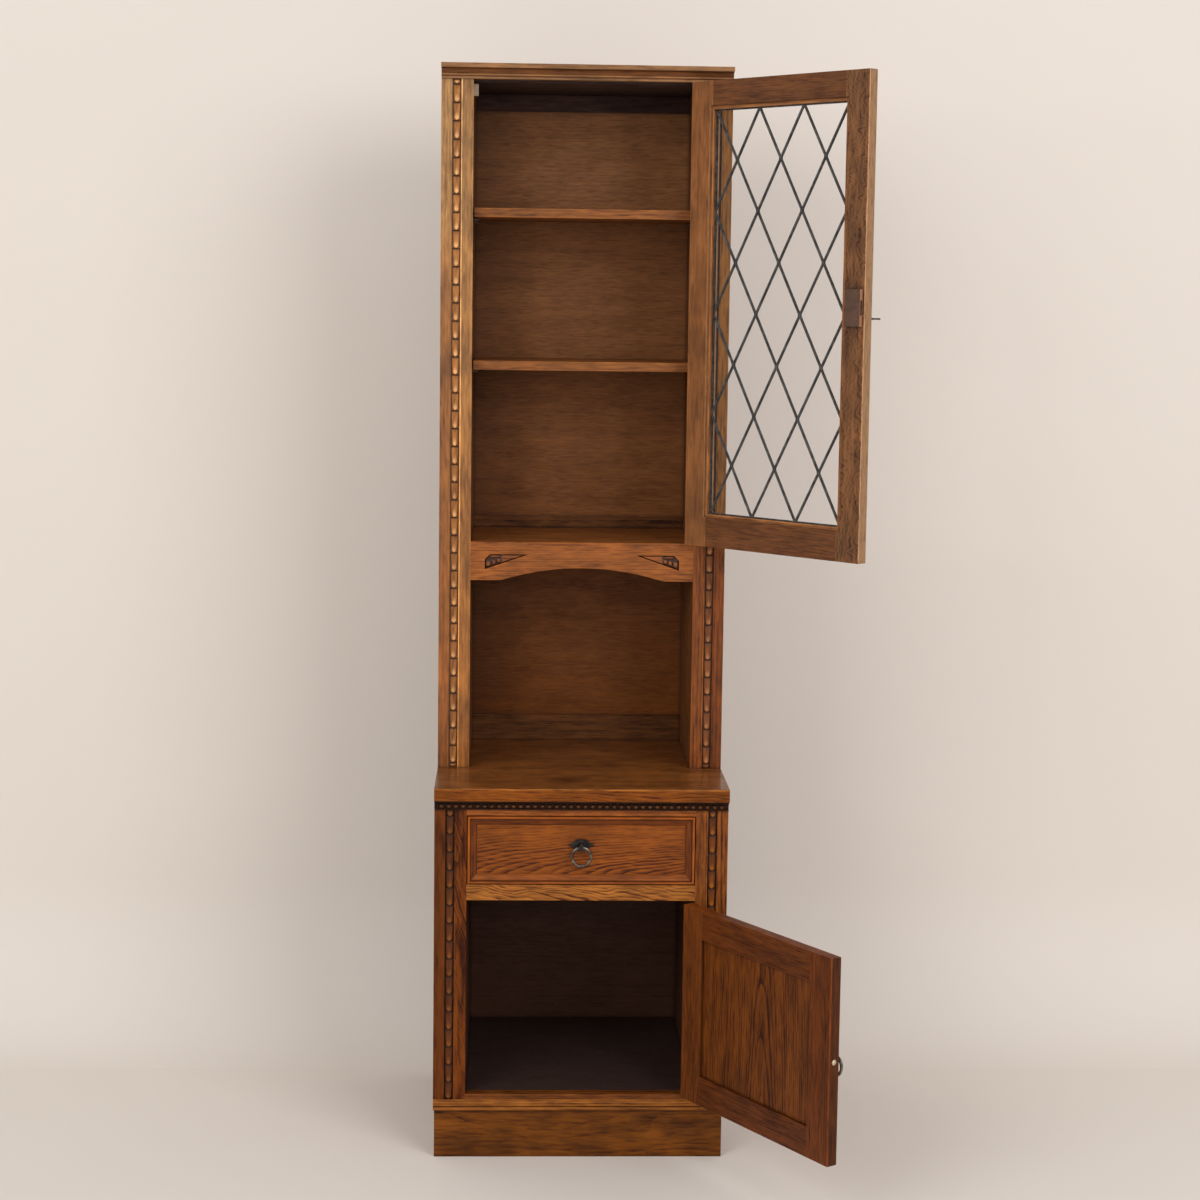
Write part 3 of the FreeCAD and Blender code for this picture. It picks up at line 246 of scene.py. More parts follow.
# The weakest ring as a share of the strongest, and how far beside the heart the rings fade
WEAK_RING = 0.35
RING_FADE = (25.0 * MM, 80.0 * MM)
# How far the grain strays inward, as a share of that sideways
INWARD_SWAY = 0.6
# Reach and strength of the painted shade in inner corners
CORNER_REACH = 7.0 * MM
CORNER_SHADE = 0.6
# Reach of the edges lightened by use and with a painted highlight
WEAR_AND_HIGHLIGHT_REACH = 1.8 * MM
EASED_EDGE = 1.2 * MM
# Step between the noises of one board and the next
SEED_STEP = 1.7
# Roughness and mirror strength of the wax
GLOSS = 0.44
SHINE = 0.28


class Oak(Graph):
    """Waxed oak with growth rings, fibres, pores, patches of darker and lighter tone, painted shade in inner
    corners, and edges lightened by use and with a painted highlight.

    run is the axis that the grain follows, turn the door's turn about the upright axis. tone is the wood's
    colour as it looks, and foot_tone its colour at the foot. heart is how far the tree's heart lies beside
    and behind the board's middle, and tilt how much that changes with each metre along it. rings is their
    number to a metre, lines their strength, far the share of it away from the heart, and bare_side, -1 or
    1, the side of the middle without rings. wander, curl and ripple are how far the grain strays, in metres.
    fibres and mottle are the strength of fibres and patches, the weight after mottle that of edges lightened
    by use and with a painted highlight, and fine the fibres' waves to a metre. mitred is half the size of a
    frame of four strips, whose uprights have upright grain.
    """

    def __init__(self, node, run, tone, name=None, foot_tone=None, turn=0.0, heart=(0.16, 0.07),
                 tilt=(0.0, 0.0), rings=240.0, wander=0.003, curl=0.0005, ripple=0.0, lines=0.9, far=0.7,
                 fibres=1.15, fine=200.0, mottle=0.16, wear=0.35, bare_side=0, mitred=None):
        super().__init__(name or f"oak_{node}")
        self.board = node
        low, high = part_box(node)
        self.set_axes((low + high) / 2, run, turn, mitred)
        self.seed = SEED_STEP * len(bpy.data.materials)
        self.tone = seen(*tone)

        line = self.growth_rings(heart, tilt, rings, far, self.grain_sway(wander, curl, ripple))
        if bare_side:
            figured = self.math("LESS_THAN", self.math("MULTIPLY", self.across, bare_side), 0.0)
            line = self.both(line, figured)
        fibre = self.span(self.stretched((FIBRE_LENGTH * fine, fine), 3.0), 0.28, 0.72)
        self.pore = self.span(self.stretched(PORE_WAVES, 1.0), 0.50, 0.68)
        self.line = self.math("MULTIPLY", line, self.span(fibre, 0.10, 0.70, 0.45, 1.0))
        self.patch = self.stretched(PATCH_WAVES, 2.0)
        self.lay_colour(line, fibre, lines, fibres, mottle)

        if foot_tone:
            height_grade = [there / here for there, here in zip(seen(*foot_tone), self.tone)]
            height = self.span(self.place_parts()[2], low.z, high.z)
            self.tint(self.other(height), *height_grade)
        # Painted shade in inner corners
        corner = self.corners(CORNER_REACH)
        self.stain_and_shade(corner, CORNER_SHADE)
        # Edges lightened by use and with a painted highlight, but not in inner corners
        worn_and_lit = self.both(self.edges(WEAR_AND_HIGHLIGHT_REACH), self.other(corner))
        self.tint(self.math("MULTIPLY", worn_and_lit, wear), *WEAR_AND_HIGHLIGHT_TINT)

    def set_axes(self, middle, run, turn, mitred):
        """Measures along, across and into the board from its middle."""
        inputs = {"Vector": self.place(), "Location": middle, "Rotation": (0.0, 0.0, turn)}
        x, y, z = self.parts(self.add("ShaderNodeMapping", inputs, vector_type="TEXTURE"))
        self.along, self.across, self.deep = {"X": (x, z, y), "Y": (y, z, x), "Z": (z, x, y)}[run]
        if mitred:
            self.turn_uprights(x, z, mitred)

    def turn_uprights(self, x, z, half):
        """Lets the grain run up in the upright strips of a mitred frame."""
        past_side = self.math("SUBTRACT", self.math("ABSOLUTE", x), half.x)
        past_head = self.math("SUBTRACT", self.math("ABSOLUTE", z), half.z)
        upright = self.math("GREATER_THAN", past_side, past_head)
        self.along = self.math("MULTIPLY_ADD", self.math("SUBTRACT", z, x), upright, x)
        self.across = self.math("MULTIPLY_ADD", self.math("SUBTRACT", x, z), upright, z)

    def lay_colour(self, line, fibre, lines, fibres, mottle):
        """Mixes light and dark wood by rings, fibres, streaks and pores, in lighter and darker patches."""
        streak = self.math("SUBTRACT", self.stretched(STREAK_WAVES, 2.0), 0.5)
        pores = self.math("MULTIPLY_ADD", line, RING_PORE_SHADE, PORE_SHADE)
        dark = self.math("MULTIPLY_ADD", fibre, FIBRE_SHADE * fibres, EVEN_SHADE - FIBRE_SHADE / 2 * fibres)
        dark = self.math("MULTIPLY_ADD", streak, STREAK_SHADE * fibres, dark)
        dark = self.math("MULTIPLY_ADD", self.line, lines, dark)
        dark = self.math("MULTIPLY_ADD", self.pore, pores, dark)
        base = self.mix(self.span(dark, 0.0, 1.0), self.shaded(*LIGHT_WOOD), self.shaded(*DARK_WOOD))
        shade = self.span(self.patch, 0.3, 0.7, 1.0 - mottle, 1.0 + mottle)
        self.base = self.mix(1.0, base, self.vector(shade, shade, shade), blend="MULTIPLY")

    def shaded(self, red, green, blue):
        """The wood's own tone, each part of it made stronger or weaker."""
        return colour(*(share * part for share, part in zip((red, green, blue), self.tone)))

    def tint(self, mask, red, green, blue):
        """Multiplies the colour where the mask is 1."""
        change = self.mix(mask, colour(1.0, 1.0, 1.0), colour(red, green, blue))
        self.base = self.mix(1.0, self.base, change, blend="MULTIPLY")

    def grain_sway(self, wander, curl, ripple):
        """How far the grain strays sideways: slowly, in small waves, and in ripples on one side."""
        sway = self.math("ADD", self.swing(self.stretched(WANDER_WAVES, 1.0), wander),
                         self.swing(self.stretched(CURL_WAVES, 1.0), curl))
        if ripple:
            waves = self.swing(self.stretched(RIPPLE_WAVES, 1.0), ripple)
            one_side = self.math("LESS_THAN", self.across, 0.0)
            sway = self.math("MULTIPLY_ADD", waves, one_side, sway)
        return sway

    def growth_rings(self, heart, tilt, rings, far, sway):
        """The dark early wood of each ring, some rings stronger than others."""
        side = self.math("MULTIPLY_ADD", self.along, tilt[0], self.math("ADD", self.across, heart[0]))
        inward = self.math("MULTIPLY_ADD", self.along, tilt[1], self.math("ADD", self.deep, heart[1]))
        side = self.math("ADD", side, sway)
        inward = self.math("MULTIPLY_ADD", sway, INWARD_SWAY, inward)
        count = self.math("MULTIPLY", self.length(side, inward), rings)
        number = self.math("ADD", self.math("FLOOR", count), self.seed)
        strength = self.span(self.chance(number), 0.0, 1.0, WEAK_RING, 1.0)
        fade = self.span(self.math("ABSOLUTE", side), *RING_FADE, 1.0, far)
        early = self.math("POWER", self.other(self.math("FRACT", count)), 2.0)
        return self.math("MULTIPLY", self.math("MULTIPLY", early, strength), fade)

    def length(self, first, second):
        """The length of a line from its reach in two directions."""
        square = self.math("MULTIPLY_ADD", first, first, self.math("MULTIPLY", second, second))
        return self.math("SQRT", square)

    def stretched(self, waves, detail):
        """Noise drawn out along the grain; waves is its number of waves to a metre, along and across."""
        along, across = waves
        return self.noise(self.vector(self.math("MULTIPLY", self.along, along),
                                      self.math("MULTIPLY_ADD", self.across, across, self.seed),
                                      self.math("MULTIPLY", self.deep, across)), detail=detail)

    def swing(self, noise, reach):
        """Noise turned into a length either side of nothing."""
        return self.math("MULTIPLY", self.math("SUBTRACT", noise, 0.5), 4.0 * reach)

    def stain_and_shade(self, mask, amount):
        """Darkens the wood where the mask is 1; it paints both real staining and painted shade."""
        self.base = self.mix(self.math("MULTIPLY", mask, amount), self.base, self.shaded(*STAINED_AND_SHADED_WOOD))

    def plain(self, mask, *shares):
        """Takes the figure away where the mask is 1 and leaves shares of the tone, with fine specks."""
        specks = [speck * share for speck, share in zip(SPECKS, shares)]
        even = self.mix(self.pore, self.shaded(*shares), self.shaded(*specks))
        self.base = self.mix(mask, self.base, even)

    def wax(self, gloss=GLOSS, shine=SHINE, coat=0.0, rubbed=None):
        """Closes the material; gloss is its roughness, which is far lower where the last mask, of smoothed
        spots with a painted highlight, is 1.
        """
        rough = self.span(self.patch, 0.25, 0.75, gloss + 0.06, gloss - 0.05)
        rough = self.math("MULTIPLY_ADD", self.pore, 0.14, rough)
        if rubbed is not None:
            rough = self.math("MULTIPLY", rough, self.span(rubbed, 0.0, 1.0, 1.0, 0.35))
        grooves = self.math("MULTIPLY_ADD", self.pore, 0.6, self.math("MULTIPLY", self.line, 0.4))
        normal = self.bump(self.other(grooves), 0.20, 0.6 * MM, self.soft_edges(EASED_EDGE))
        return self.finish(Base_Color=self.base, Roughness=rough, Normal=normal, Specular_IOR_Level=shine,
                           Coat_Weight=coat, Coat_Roughness=0.16)

    def wax_board(self, **wax):
        """Closes the material and dresses its own board with it."""
        dress(frame["nodes"][self.board], self.wax(**wax))


def dress(thing, material):
    thing.data.materials.clear()
    thing.data.materials.append(material)


def board(node, run, tone, gloss=GLOSS, shine=SHINE, **grain):
    """Gives a wooden node its own oak."""
    Oak(node, run, tone, **grain).wax_board(gloss=gloss, shine=shine)


def dull_metal(name, base, worn_and_lit, rough, metallic=1.0, grain=900.0, bump_strength=0.25, bright_side=None):
    """Metal with a mottled surface, lighter where use has smoothed it, and painted light on one given side."""
    g = Graph(name)
    mottle = g.noise(g.place(), scale=grain, detail=3.0)
    broad = g.noise(g.place(), scale=grain / 9.0, detail=2.0)
    rub = g.span(g.math("ADD", mottle, broad), 0.85, 1.25)
    tint = g.mix(rub, colour(*base), colour(*worn_and_lit))
    if bright_side is not None:
        bright = colour(*(3.0 * part for part in worn_and_lit))
        tint = g.mix(g.facing(bright_side), tint, bright)
    normal = g.bump(mottle, bump_strength, 0.4 * MM, g.soft_edges(0.4 * MM))
    return g.finish(Base_Color=tint, Metallic=metallic, Normal=normal,
                    Roughness=g.span(mottle, 0.3, 0.7, rough - 0.08, rough + 0.12))


def window_glass(name):
    """Thin clear glass: almost all light goes straight through, a little is mirrored by an uneven face."""
    mirrored = 0.014
    g = Graph(name)
    ripple = g.noise(g.place(), scale=14.0, detail=1.0)
    tint = g.mix(ripple, colour(0.992, 0.990, 0.992), colour(1.0, 0.998, 1.0))
    clear = g.add("ShaderNodeBsdfTransparent", {"Color": tint})
    rough = g.span(ripple, 0.3, 0.7, 0.02, 0.06)
    shine = g.add("ShaderNodeBsdfGlossy", {"Roughness": rough, "Normal": g.bump(ripple, 0.10, 2.0 * MM)})
    return mixed_surface(g, mirrored, clear, shine)


def mixed_surface(g, amount, first, second):
    """Closes a material with a mix of two shaders."""
    mixed = g.add("ShaderNodeMixShader", {0: amount, 1: first, 2: second})
    g.feed(g.output.inputs["Surface"], mixed)
    return g.material


def pale_block(name, base):
    """A dull, finely grained block of one colour."""
    g = Graph(name)
    grain = g.noise(g.place(), scale=400.0, detail=3.0)
    dark = colour(*(0.8 * part for part in base))
    tint = g.mix(g.span(grain, 0.3, 0.7), colour(*base), dark)
    return g.finish(Base_Color=tint, Roughness=0.6, Normal=g.bump(grain, 0.15, 0.4 * MM))


# Stiles with a carved channel

CHANNEL_DEPTH = 3.6 * MM
CHANNEL_WIDTH = 16.0 * MM
CHANNEL_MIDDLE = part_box("carved_strips")[1].x - CHANNEL_WIDTH / 2
CHANNEL_SLACK = 0.1 * MM
ARRIS_WIDTH = 1.6 * MM
# Where the painted light behind the glazed door begins and is full, from the door's foot up
DOOR_TINT_START = -20.0 * MM
DOOR_TINT_FULL = 60.0 * MM
# Where the painted sheen at a stile's head begins and is full, from the head down
HEAD_TINT_START = 330.0 * MM
HEAD_TINT_FULL = 230.0 * MM


def stile_board(node, tone, front, hollow_shade, outer, arris, behind_door=None, outer_head=None, gloss=GLOSS,
                shine=SHINE, **grain):
    """A stile with painted shade in its channel, of the given strength, a tinted outer strip and a painted
    highlight on its inner arris.

    The tint behind the glazed door is painted light above the door's foot, making up for the door's shadow; the
    one at the head is a painted sheen on the outer strip.
    """
    wood = Oak(node, "Z", tone, **grain)
    x, y, height = wood.place_parts()
    # Painted light where the glazed door shades the stile
    if behind_door:
        door_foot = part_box("glazed_door_rails")[0].z
        covered = wood.span(height, door_foot + DOOR_TINT_START, door_foot + DOOR_TINT_FULL)
        wood.tint(covered, *behind_door)
    off_middle = wood.math("SUBTRACT", wood.math("ABSOLUTE", x), CHANNEL_MIDDLE)
    outer_strip = wood.math("GREATER_THAN", off_middle, CHANNEL_WIDTH / 2)
    wood.tint(outer_strip, *outer)
    # Painted sheen at the head of the outer strip
    if outer_head:
        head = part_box(node)[1].z
        near_head = wood.span(height, head - HEAD_TINT_START, head - HEAD_TINT_FULL)
        wood.tint(wood.both(outer_strip, near_head), *outer_head)
    # Painted shade in the sunk bed of the channel
    in_channel = wood.math("COMPARE", off_middle, 0.0, CHANNEL_WIDTH / 2 + CHANNEL_SLACK)
    sunk = wood.span(y, front + 0.2 * CHANNEL_DEPTH, front + 0.9 * CHANNEL_DEPTH)
    wood.stain_and_shade(wood.both(in_channel, sunk), hollow_shade)
    # Painted highlight on the channel's inner arris, which is also glossier
    rubbed = wood.math("COMPARE", off_middle, -CHANNEL_WIDTH / 2 - ARRIS_WIDTH / 2, ARRIS_WIDTH / 2)
    wood.tint(rubbed, arris, 1.1 * arris, 1.3 * arris)
    wood.wax_board(gloss=gloss, shine=shine, rubbed=rubbed)


# Oak of the upper stage

def upper_stage_oak():
    stile_board("display_left_stile", (140, 101, 62), display_front, hollow_shade=0.25, outer=(0.84, 0.74, 0.70),
                arris=2.6, outer_head=(1.35, 1.6, 1.75), foot_tone=(131, 80, 37), heart=(0.24, 0.10),
                rings=190.0, lines=0.45, mottle=0.34, wear=0.6, gloss=0.36, shine=0.40)
    stile_board("display_right_stile", (114, 62, 24), display_front, hollow_shade=0.6, outer=(0.80, 0.72, 0.52),
                arris=1.7, behind_door=(1.95, 3.2, 4.9), heart=(-0.20, 0.12), rings=170.0, curl=0.001,
                lines=1.1)
    for node, tone in (("display_left_side", (132, 82, 47)), ("display_right_side", (126, 75, 41)),
                       ("display_linings", (104, 66, 40))):
        board(node, "Z", tone)
    cornice_oak()
    for node in ("upper_shelf", "middle_shelf", "fixed_shelf"):
        board(node, "X", (120, 72, 35), heart=(0.05, 0.18), lines=0.5, wear=0.7)
    board("arch_rail", "X", (128, 73, 33), heart=(-0.14, 0.06), wander=0.005, mottle=0.2)
    back_panel_oak()
    top_board_oak()
    back_rails_oak()


# Levels below the cornice's top
FASCIA_FOOT = 7.6 * MM
BEAD_HEAD = 16.0 * MM
BEAD_FOOT = 21.4 * MM
CORNICE_SHADOW = 1.8 * MM


def cornice_oak():
    """The cornice: painted shadow under its fascia, painted shade, brown, in the cove, a painted highlight on
    top of the bead and painted shade below it.
    """
    wood = Oak("cornice", "X", (122, 86, 57), heart=(0.05, 0.20), lines=0.4, mottle=0.2)
    drop = wood.math("SUBTRACT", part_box("cornice")[1].z, wood.place_parts()[2])
    cove = FASCIA_FOOT + CORNICE_SHADOW
    bead_shade = 1.3 * CORNICE_SHADOW
    # Bands of painted shadow, shade and highlight, measured down from the top
    for top, bottom, tint in (
        (FASCIA_FOOT, cove, (0.42, 0.33, 0.26)),
        (cove, BEAD_HEAD, (0.75, 0.56, 0.40)),
        (BEAD_HEAD, BEAD_HEAD + bead_shade, (1.35, 1.28, 1.15)),
        (BEAD_FOOT - bead_shade, BEAD_FOOT, (0.52, 0.40, 0.32)),
    ):
        wood.tint(wood.math("COMPARE", drop, (top + bottom) / 2, (bottom - top) / 2), *tint)
    wood.wax_board()


def back_panel_oak():
    """Plain veneer with fine level streaks, painted shade to the left, and darker towards the foot."""
    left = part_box("display_back_panel")[0].x
    wood = Oak("display_back_panel", "X", (129, 86, 56), foot_tone=(97, 53, 16), heart=(0.30, 0.05),
               rings=150.0, lines=0.10, fibres=0.7, fine=290.0, mottle=0.10)
    # Painted shade on the left part of the panel
    wood.tint(wood.fall(wood.place_parts()[0], left + 40.0 * MM, left + 150.0 * MM), 0.55, 0.52, 0.50)
    wood.wax_board(gloss=0.5, shine=0.18)


def top_board_oak():
    """The top board: dark below, over the display space, as painted shade, and in the cabinet's own tone
    outside.
    """
    wood = Oak("top_board", "X", (60, 47, 46), lines=0.2, fibres=0.5)
    # The dark tone is painted shade; faces that look to the sides and up get the cabinet's tone
    for outward in (TO_LEFT, TO_RIGHT, UP):
        wood.tint(wood.facing(outward), 5.0, 2.9, 0.9)
    wood.wax_board(shine=0.15)


def back_rails_oak():
    """The rails behind: brown, and darker and greyer at the very top as painted shade."""
    wood = Oak("back_rails", "X", (87, 53, 29))
    top_rail_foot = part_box("back_rails")[1].z - 100.0 * MM
    # Painted shade on the top rail
    wood.tint(wood.math("GREATER_THAN", wood.place_parts()[2], top_rail_foot), 0.5, 0.62, 1.7)
    wood.wax_board(shine=0.15)


# Oak of the base and the drawer

KNOT_MIDDLE = (-22.0 * MM, 56.0 * MM)
KNOT_SIZE = (46.0 * MM, 32.0 * MM)


def base_stage_oak():
    stile_board("base_left_stile", (95, 49, 16), base_front, hollow_shade=0.85, outer=(0.76, 0.78, 0.92),
                arris=1.2, heart=(-0.065, 0.02), tilt=(0.34, 0.0), rings=210.0, wander=0.003, curl=0.006,
                lines=1.4, far=0.3, fibres=2.2, fine=150.0, bare_side=-1, shine=0.14)
    stile_board("base_right_stile", (114, 64, 28), base_front, hollow_shade=0.85, outer=(1.0, 1.0, 1.0),
                arris=1.2, heart=(0.14, 0.06), rings=170.0, curl=0.001, lines=1.1, fibres=1.5, shine=0.16)
    board("base_left_side", "Z", (106, 60, 30), shine=0.2)
    board("base_right_side", "Z", (110, 62, 30), shine=0.2)
    board("top_rail", "X", (130, 72, 31), heart=(0.10, 0.06), shine=0.2)
    board("drawer_rail", "X", (144, 88, 38), heart=(0.02, 0.04), tilt=(0.02, 0.06), rings=300.0,
          wander=0.006, curl=0.004, lines=1.3, shine=0.2)
    board("bottom_rail", "X", (101, 56, 23), shine=0.2)
    board("base_moulding", "X", (128, 76, 30), heart=(0.08, 0.12), wear=0.9, shine=0.2)
    board("plinth_front", "X", (94, 53, 16), heart=(0.10, 0.03), rings=60.0, wander=0.05, curl=0.003,
          lines=0.6, mottle=0.32, shine=0.16)
    board("plinth_back", "X", (96, 54, 24))
    board("plinth_sides", "Y", (96, 54, 24))
    board("pearl_moulding", "X", (44, 23, 10), shine=0.15)
    counter_oak()
    board("base_bottom_board", "X", (58, 45, 43), shine=0.12, lines=0.2, fibres=0.3, mottle=0.06, wear=0.1)
    for node, run in (("base_linings", "Z"), ("base_back_panel", "X"), ("rear_posts", "Z"),
                      ("drawer_guides", "Y")):
        board(node, run, (76, 50, 41), shine=0.12, lines=0.2, fibres=0.4, mottle=0.08, wear=0.1)


def counter_oak():
    """The counter: a knot in its polished top, its front edge golden, and a painted highlight on the arris
    between them.
    """
    wood = Oak("counter_top", "X", (110, 66, 33), heart=(0.04, 0.24), tilt=(0.02, 0.05), rings=190.0,
               wander=0.006, curl=0.003, lines=0.8, mottle=0.26, wear=0.7)
    wood.stain_and_shade(knot(wood, KNOT_MIDDLE, KNOT_SIZE), 0.75)
    wood.tint(wood.facing(TO_FRONT), 0.95, 0.74, 0.22)
    # Painted highlight on the rounded arris that looks to the front and up
    wood.tint(wood.facing(FRONT_AND_UP), 1.8, 2.0, 2.2)
    polish = wood.math("MULTIPLY", wood.facing(UP), 0.4)
    wood.wax_board(gloss=0.32, shine=0.16, coat=polish)


def knot(wood, middle, size):
    """A soft dark spot on a level board."""
    x, y = wood.place_parts()[:2]
    across = wood.math("DIVIDE", wood.math("SUBTRACT", x, middle[0]), size[0])
    back = wood.math("DIVIDE", wood.math("SUBTRACT", y, middle[1]), size[1])
    reach = wood.length(across, back)
    return wood.fall(wood.math("MULTIPLY_ADD", wood.patch, 0.5, reach), 0.45, 1.35)


def drawer_oak():
    board("drawer_front", "X", (122, 65, 20), heart=(0.050, 0.045), tilt=(0.0, -0.13), rings=250.0,
          wander=0.0015, curl=0.0014, lines=1.6, far=0.35, fibres=0.8, fine=260.0, shine=0.2)
    drawer_moulding_oak()
    board("drawer_sides", "Y", (120, 74, 42))
    board("drawer_back", "X", (120, 74, 42))
    board("drawer_bottom", "X", (125, 82, 50))


BEAD_WIDTH = 4.6 * MM
QUIRK_WIDTH = 0.9 * MM
MITRE_SLACK = 0.05 * MM


def drawer_moulding_oak():
    """The drawer's frame: a painted highlight on the outer bead, painted shade in the quirk, and painted shade
    on the slopes, darkest at the top.
    """
    low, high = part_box("drawer_moulding")
    wood = Oak("drawer_moulding", "X", (124, 66, 25), heart=(0.20, 0.06), lines=0.5, mitred=(high - low) / 2)
    x, _, z = wood.place_parts()
    from_side = wood.math("MINIMUM", wood.math("SUBTRACT", x, low.x), wood.math("SUBTRACT", high.x, x))
    from_head = wood.math("SUBTRACT", high.z, z)
    from_foot = wood.math("SUBTRACT", z, low.z)
    inward = wood.math("MINIMUM", wood.math("MINIMUM", from_side, from_head), from_foot)
    # Painted shade on the slopes at the top and the sides
    slope = wood.span(inward, BEAD_WIDTH, BEAD_WIDTH + QUIRK_WIDTH)
    for distance, tint in ((from_head, (0.50, 0.45, 0.40)), (from_side, (0.58, 0.52, 0.46))):
        wood.tint(wood.both(slope, wood.math("COMPARE", distance, inward, MITRE_SLACK)), *tint)
    # Painted highlight on the outer bead
    wood.tint(wood.fall(inward, 0.5 * BEAD_WIDTH, 0.8 * BEAD_WIDTH), 1.20, 1.15, 1.05)
    # Painted shade in the quirk
    wood.stain_and_shade(wood.math("COMPARE", inward, BEAD_WIDTH + QUIRK_WIDTH / 2, QUIRK_WIDTH), 0.6)
    wood.wax_board(shine=0.2)


# Oak of the doors

def lit_arris(wood, leaf, *tint):
    """Paints a highlight on the arris between a door's free edge and its inner face."""
    half = leaf.half_size(wood.board)
    beside = wood.math("COMPARE", wood.across, -half.x, ARRIS_WIDTH)
    behind = wood.math("COMPARE", wood.deep, half.y, ARRIS_WIDTH)
    wood.tint(wood.both(beside, behind), *tint)


def glazed_door_oak():
    turn = glazed_door.turn
    stiles = Oak("glazed_door_stiles", "Z", (116, 73, 42), turn=turn, heart=(0.30, 0.10), rings=125.0,
                 ripple=0.009, lines=1.1, far=1.0, mottle=0.30, wear=0.9, bare_side=1)
    lock_stile = stiles.math("LESS_THAN", stiles.across, 0.0)
    stiles.tint(lock_stile, 0.76, 0.84, 0.98)
    # Painted light: the free edge, which faces the side light, paler and lighter, without figure
    stiles.plain(stiles.facing(glazed_door.free_edge()), 1.75, 2.67, 4.33)
    # Painted highlight on the arris of the free edge
    lit_arris(stiles, glazed_door, 1.9, 1.9, 2.0)
    stiles.wax_board(gloss=0.38, shine=0.32)
    board("glazed_door_rails", "X", (93, 56, 31), turn=turn, heart=(0.50, 0.08), lines=0.6)
    board("glazing_beads", "X", (134, 86, 50), turn=turn, mitred=glazed_door.half_size("glazing_beads"),
          wear=0.9)


def cupboard_door_oak():
    turn = cupboard_door.turn
    # Painted light: faces that look up are warmed, against the grey sheen of the light above
    top_tint = (1.1, 1.0, 0.6)
    stiles = Oak("cupboard_door_stiles", "Z", (96, 52, 22), turn=turn, heart=(0.35, 0.10))
    free_stile = stiles.math("LESS_THAN", stiles.across, 0.0)
    stiles.tint(free_stile, 0.90, 0.78, 0.42)
    # Painted shade on the free edge
    stiles.tint(stiles.facing(cupboard_door.free_edge()), 0.60, 0.62, 0.60)
    stiles.tint(stiles.facing(UP), *top_tint)
    # Painted highlight on the arris of the free edge
    lit_arris(stiles, cupboard_door, 2.1, 2.0, 1.9)
    stiles.wax_board(shine=0.18)
    rails = Oak("cupboard_door_rails", "X", (88, 46, 18), turn=turn, heart=(0.30, 0.10), wear=0.7)
    rails.tint(rails.facing(UP), *top_tint)
    rails.wax_board(shine=0.18)
    board("cupboard_door_moulding", "X", (104, 56, 26), turn=turn,
          mitred=cupboard_door.half_size("cupboard_door_moulding"), shine=0.18)
    board("cupboard_door_panel", "Z", (97, 52, 17), turn=turn, heart=(0.02, 0.045), tilt=(0.0, 0.06),
          rings=220.0, wander=0.006, curl=0.001, lines=1.3, shine=0.18)


# Metal, glass and blocks

def fittings():
    """Dresses all that isn't wood; gives back the metals that the wrought pieces need as well."""
    iron = dull_metal("dark_iron", (0.055, 0.044, 0.037), (0.28, 0.24, 0.20), rough=0.24, metallic=0.9)
    black = dull_metal("black_iron", (0.010, 0.008, 0.008), (0.040, 0.034, 0.031), rough=0.42, metallic=0.5)
    lead = dull_metal("dull_lead", (0.040, 0.039, 0.040), (0.14, 0.135, 0.13), rough=0.48, metallic=0.6)
    brass = dull_metal("aged_brass", (0.22, 0.13, 0.04), (0.45, 0.29, 0.10), rough=0.4)
    # The lock case gets painted light on its side towards the free edge
    bronze = dull_metal("brown_lock", (0.062, 0.027, 0.014), (0.11, 0.050, 0.026), rough=0.45, metallic=0.0,
                        grain=500.0, bump_strength=0.1, bright_side=glazed_door.free_edge())
    ball = dull_metal("rubbed_brass", (0.55, 0.43, 0.28), (0.85, 0.76, 0.62), rough=0.2)
    steel = dull_metal("dull_steel", (0.05, 0.042, 0.038), (0.18, 0.16, 0.14), rough=0.45)
    pale = pale_block("pale_stop", (0.36, 0.28, 0.20))
    peg = pale_block("brown_peg", (0.11, 0.058, 0.030))
    glass = window_glass("window_glass")
    for material, nodes in (
        (black, ("drawer_pull_plate", "cupboard_pull_plate")),
        (iron, ("drawer_ring", "cupboard_ring")),
        (lead, ("lead_cames",)),
        (brass, ("hinge_frame_leaves", "hinge_pins", "cupboard_door_hinge_leaves",
                 "glazed_door_hinge_leaves")),
        (ball, ("cupboard_ball_catch",)),
        (bronze, ("lock_case",)),
        (steel, ("lock_bolt", "key")),
        (pale, ("door_stop",)),
        (peg, ("shelf_pegs",)),
        (glass, ("glass_quarries",)),
    ):
        for node in nodes:
            dress(frame["nodes"][node], material)
    return iron, black, lead


upper_stage_oak()
base_stage_oak()
drawer_oak()
glazed_door_oak()
cupboard_door_oak()
iron, black, lead = fittings()


# Meshes

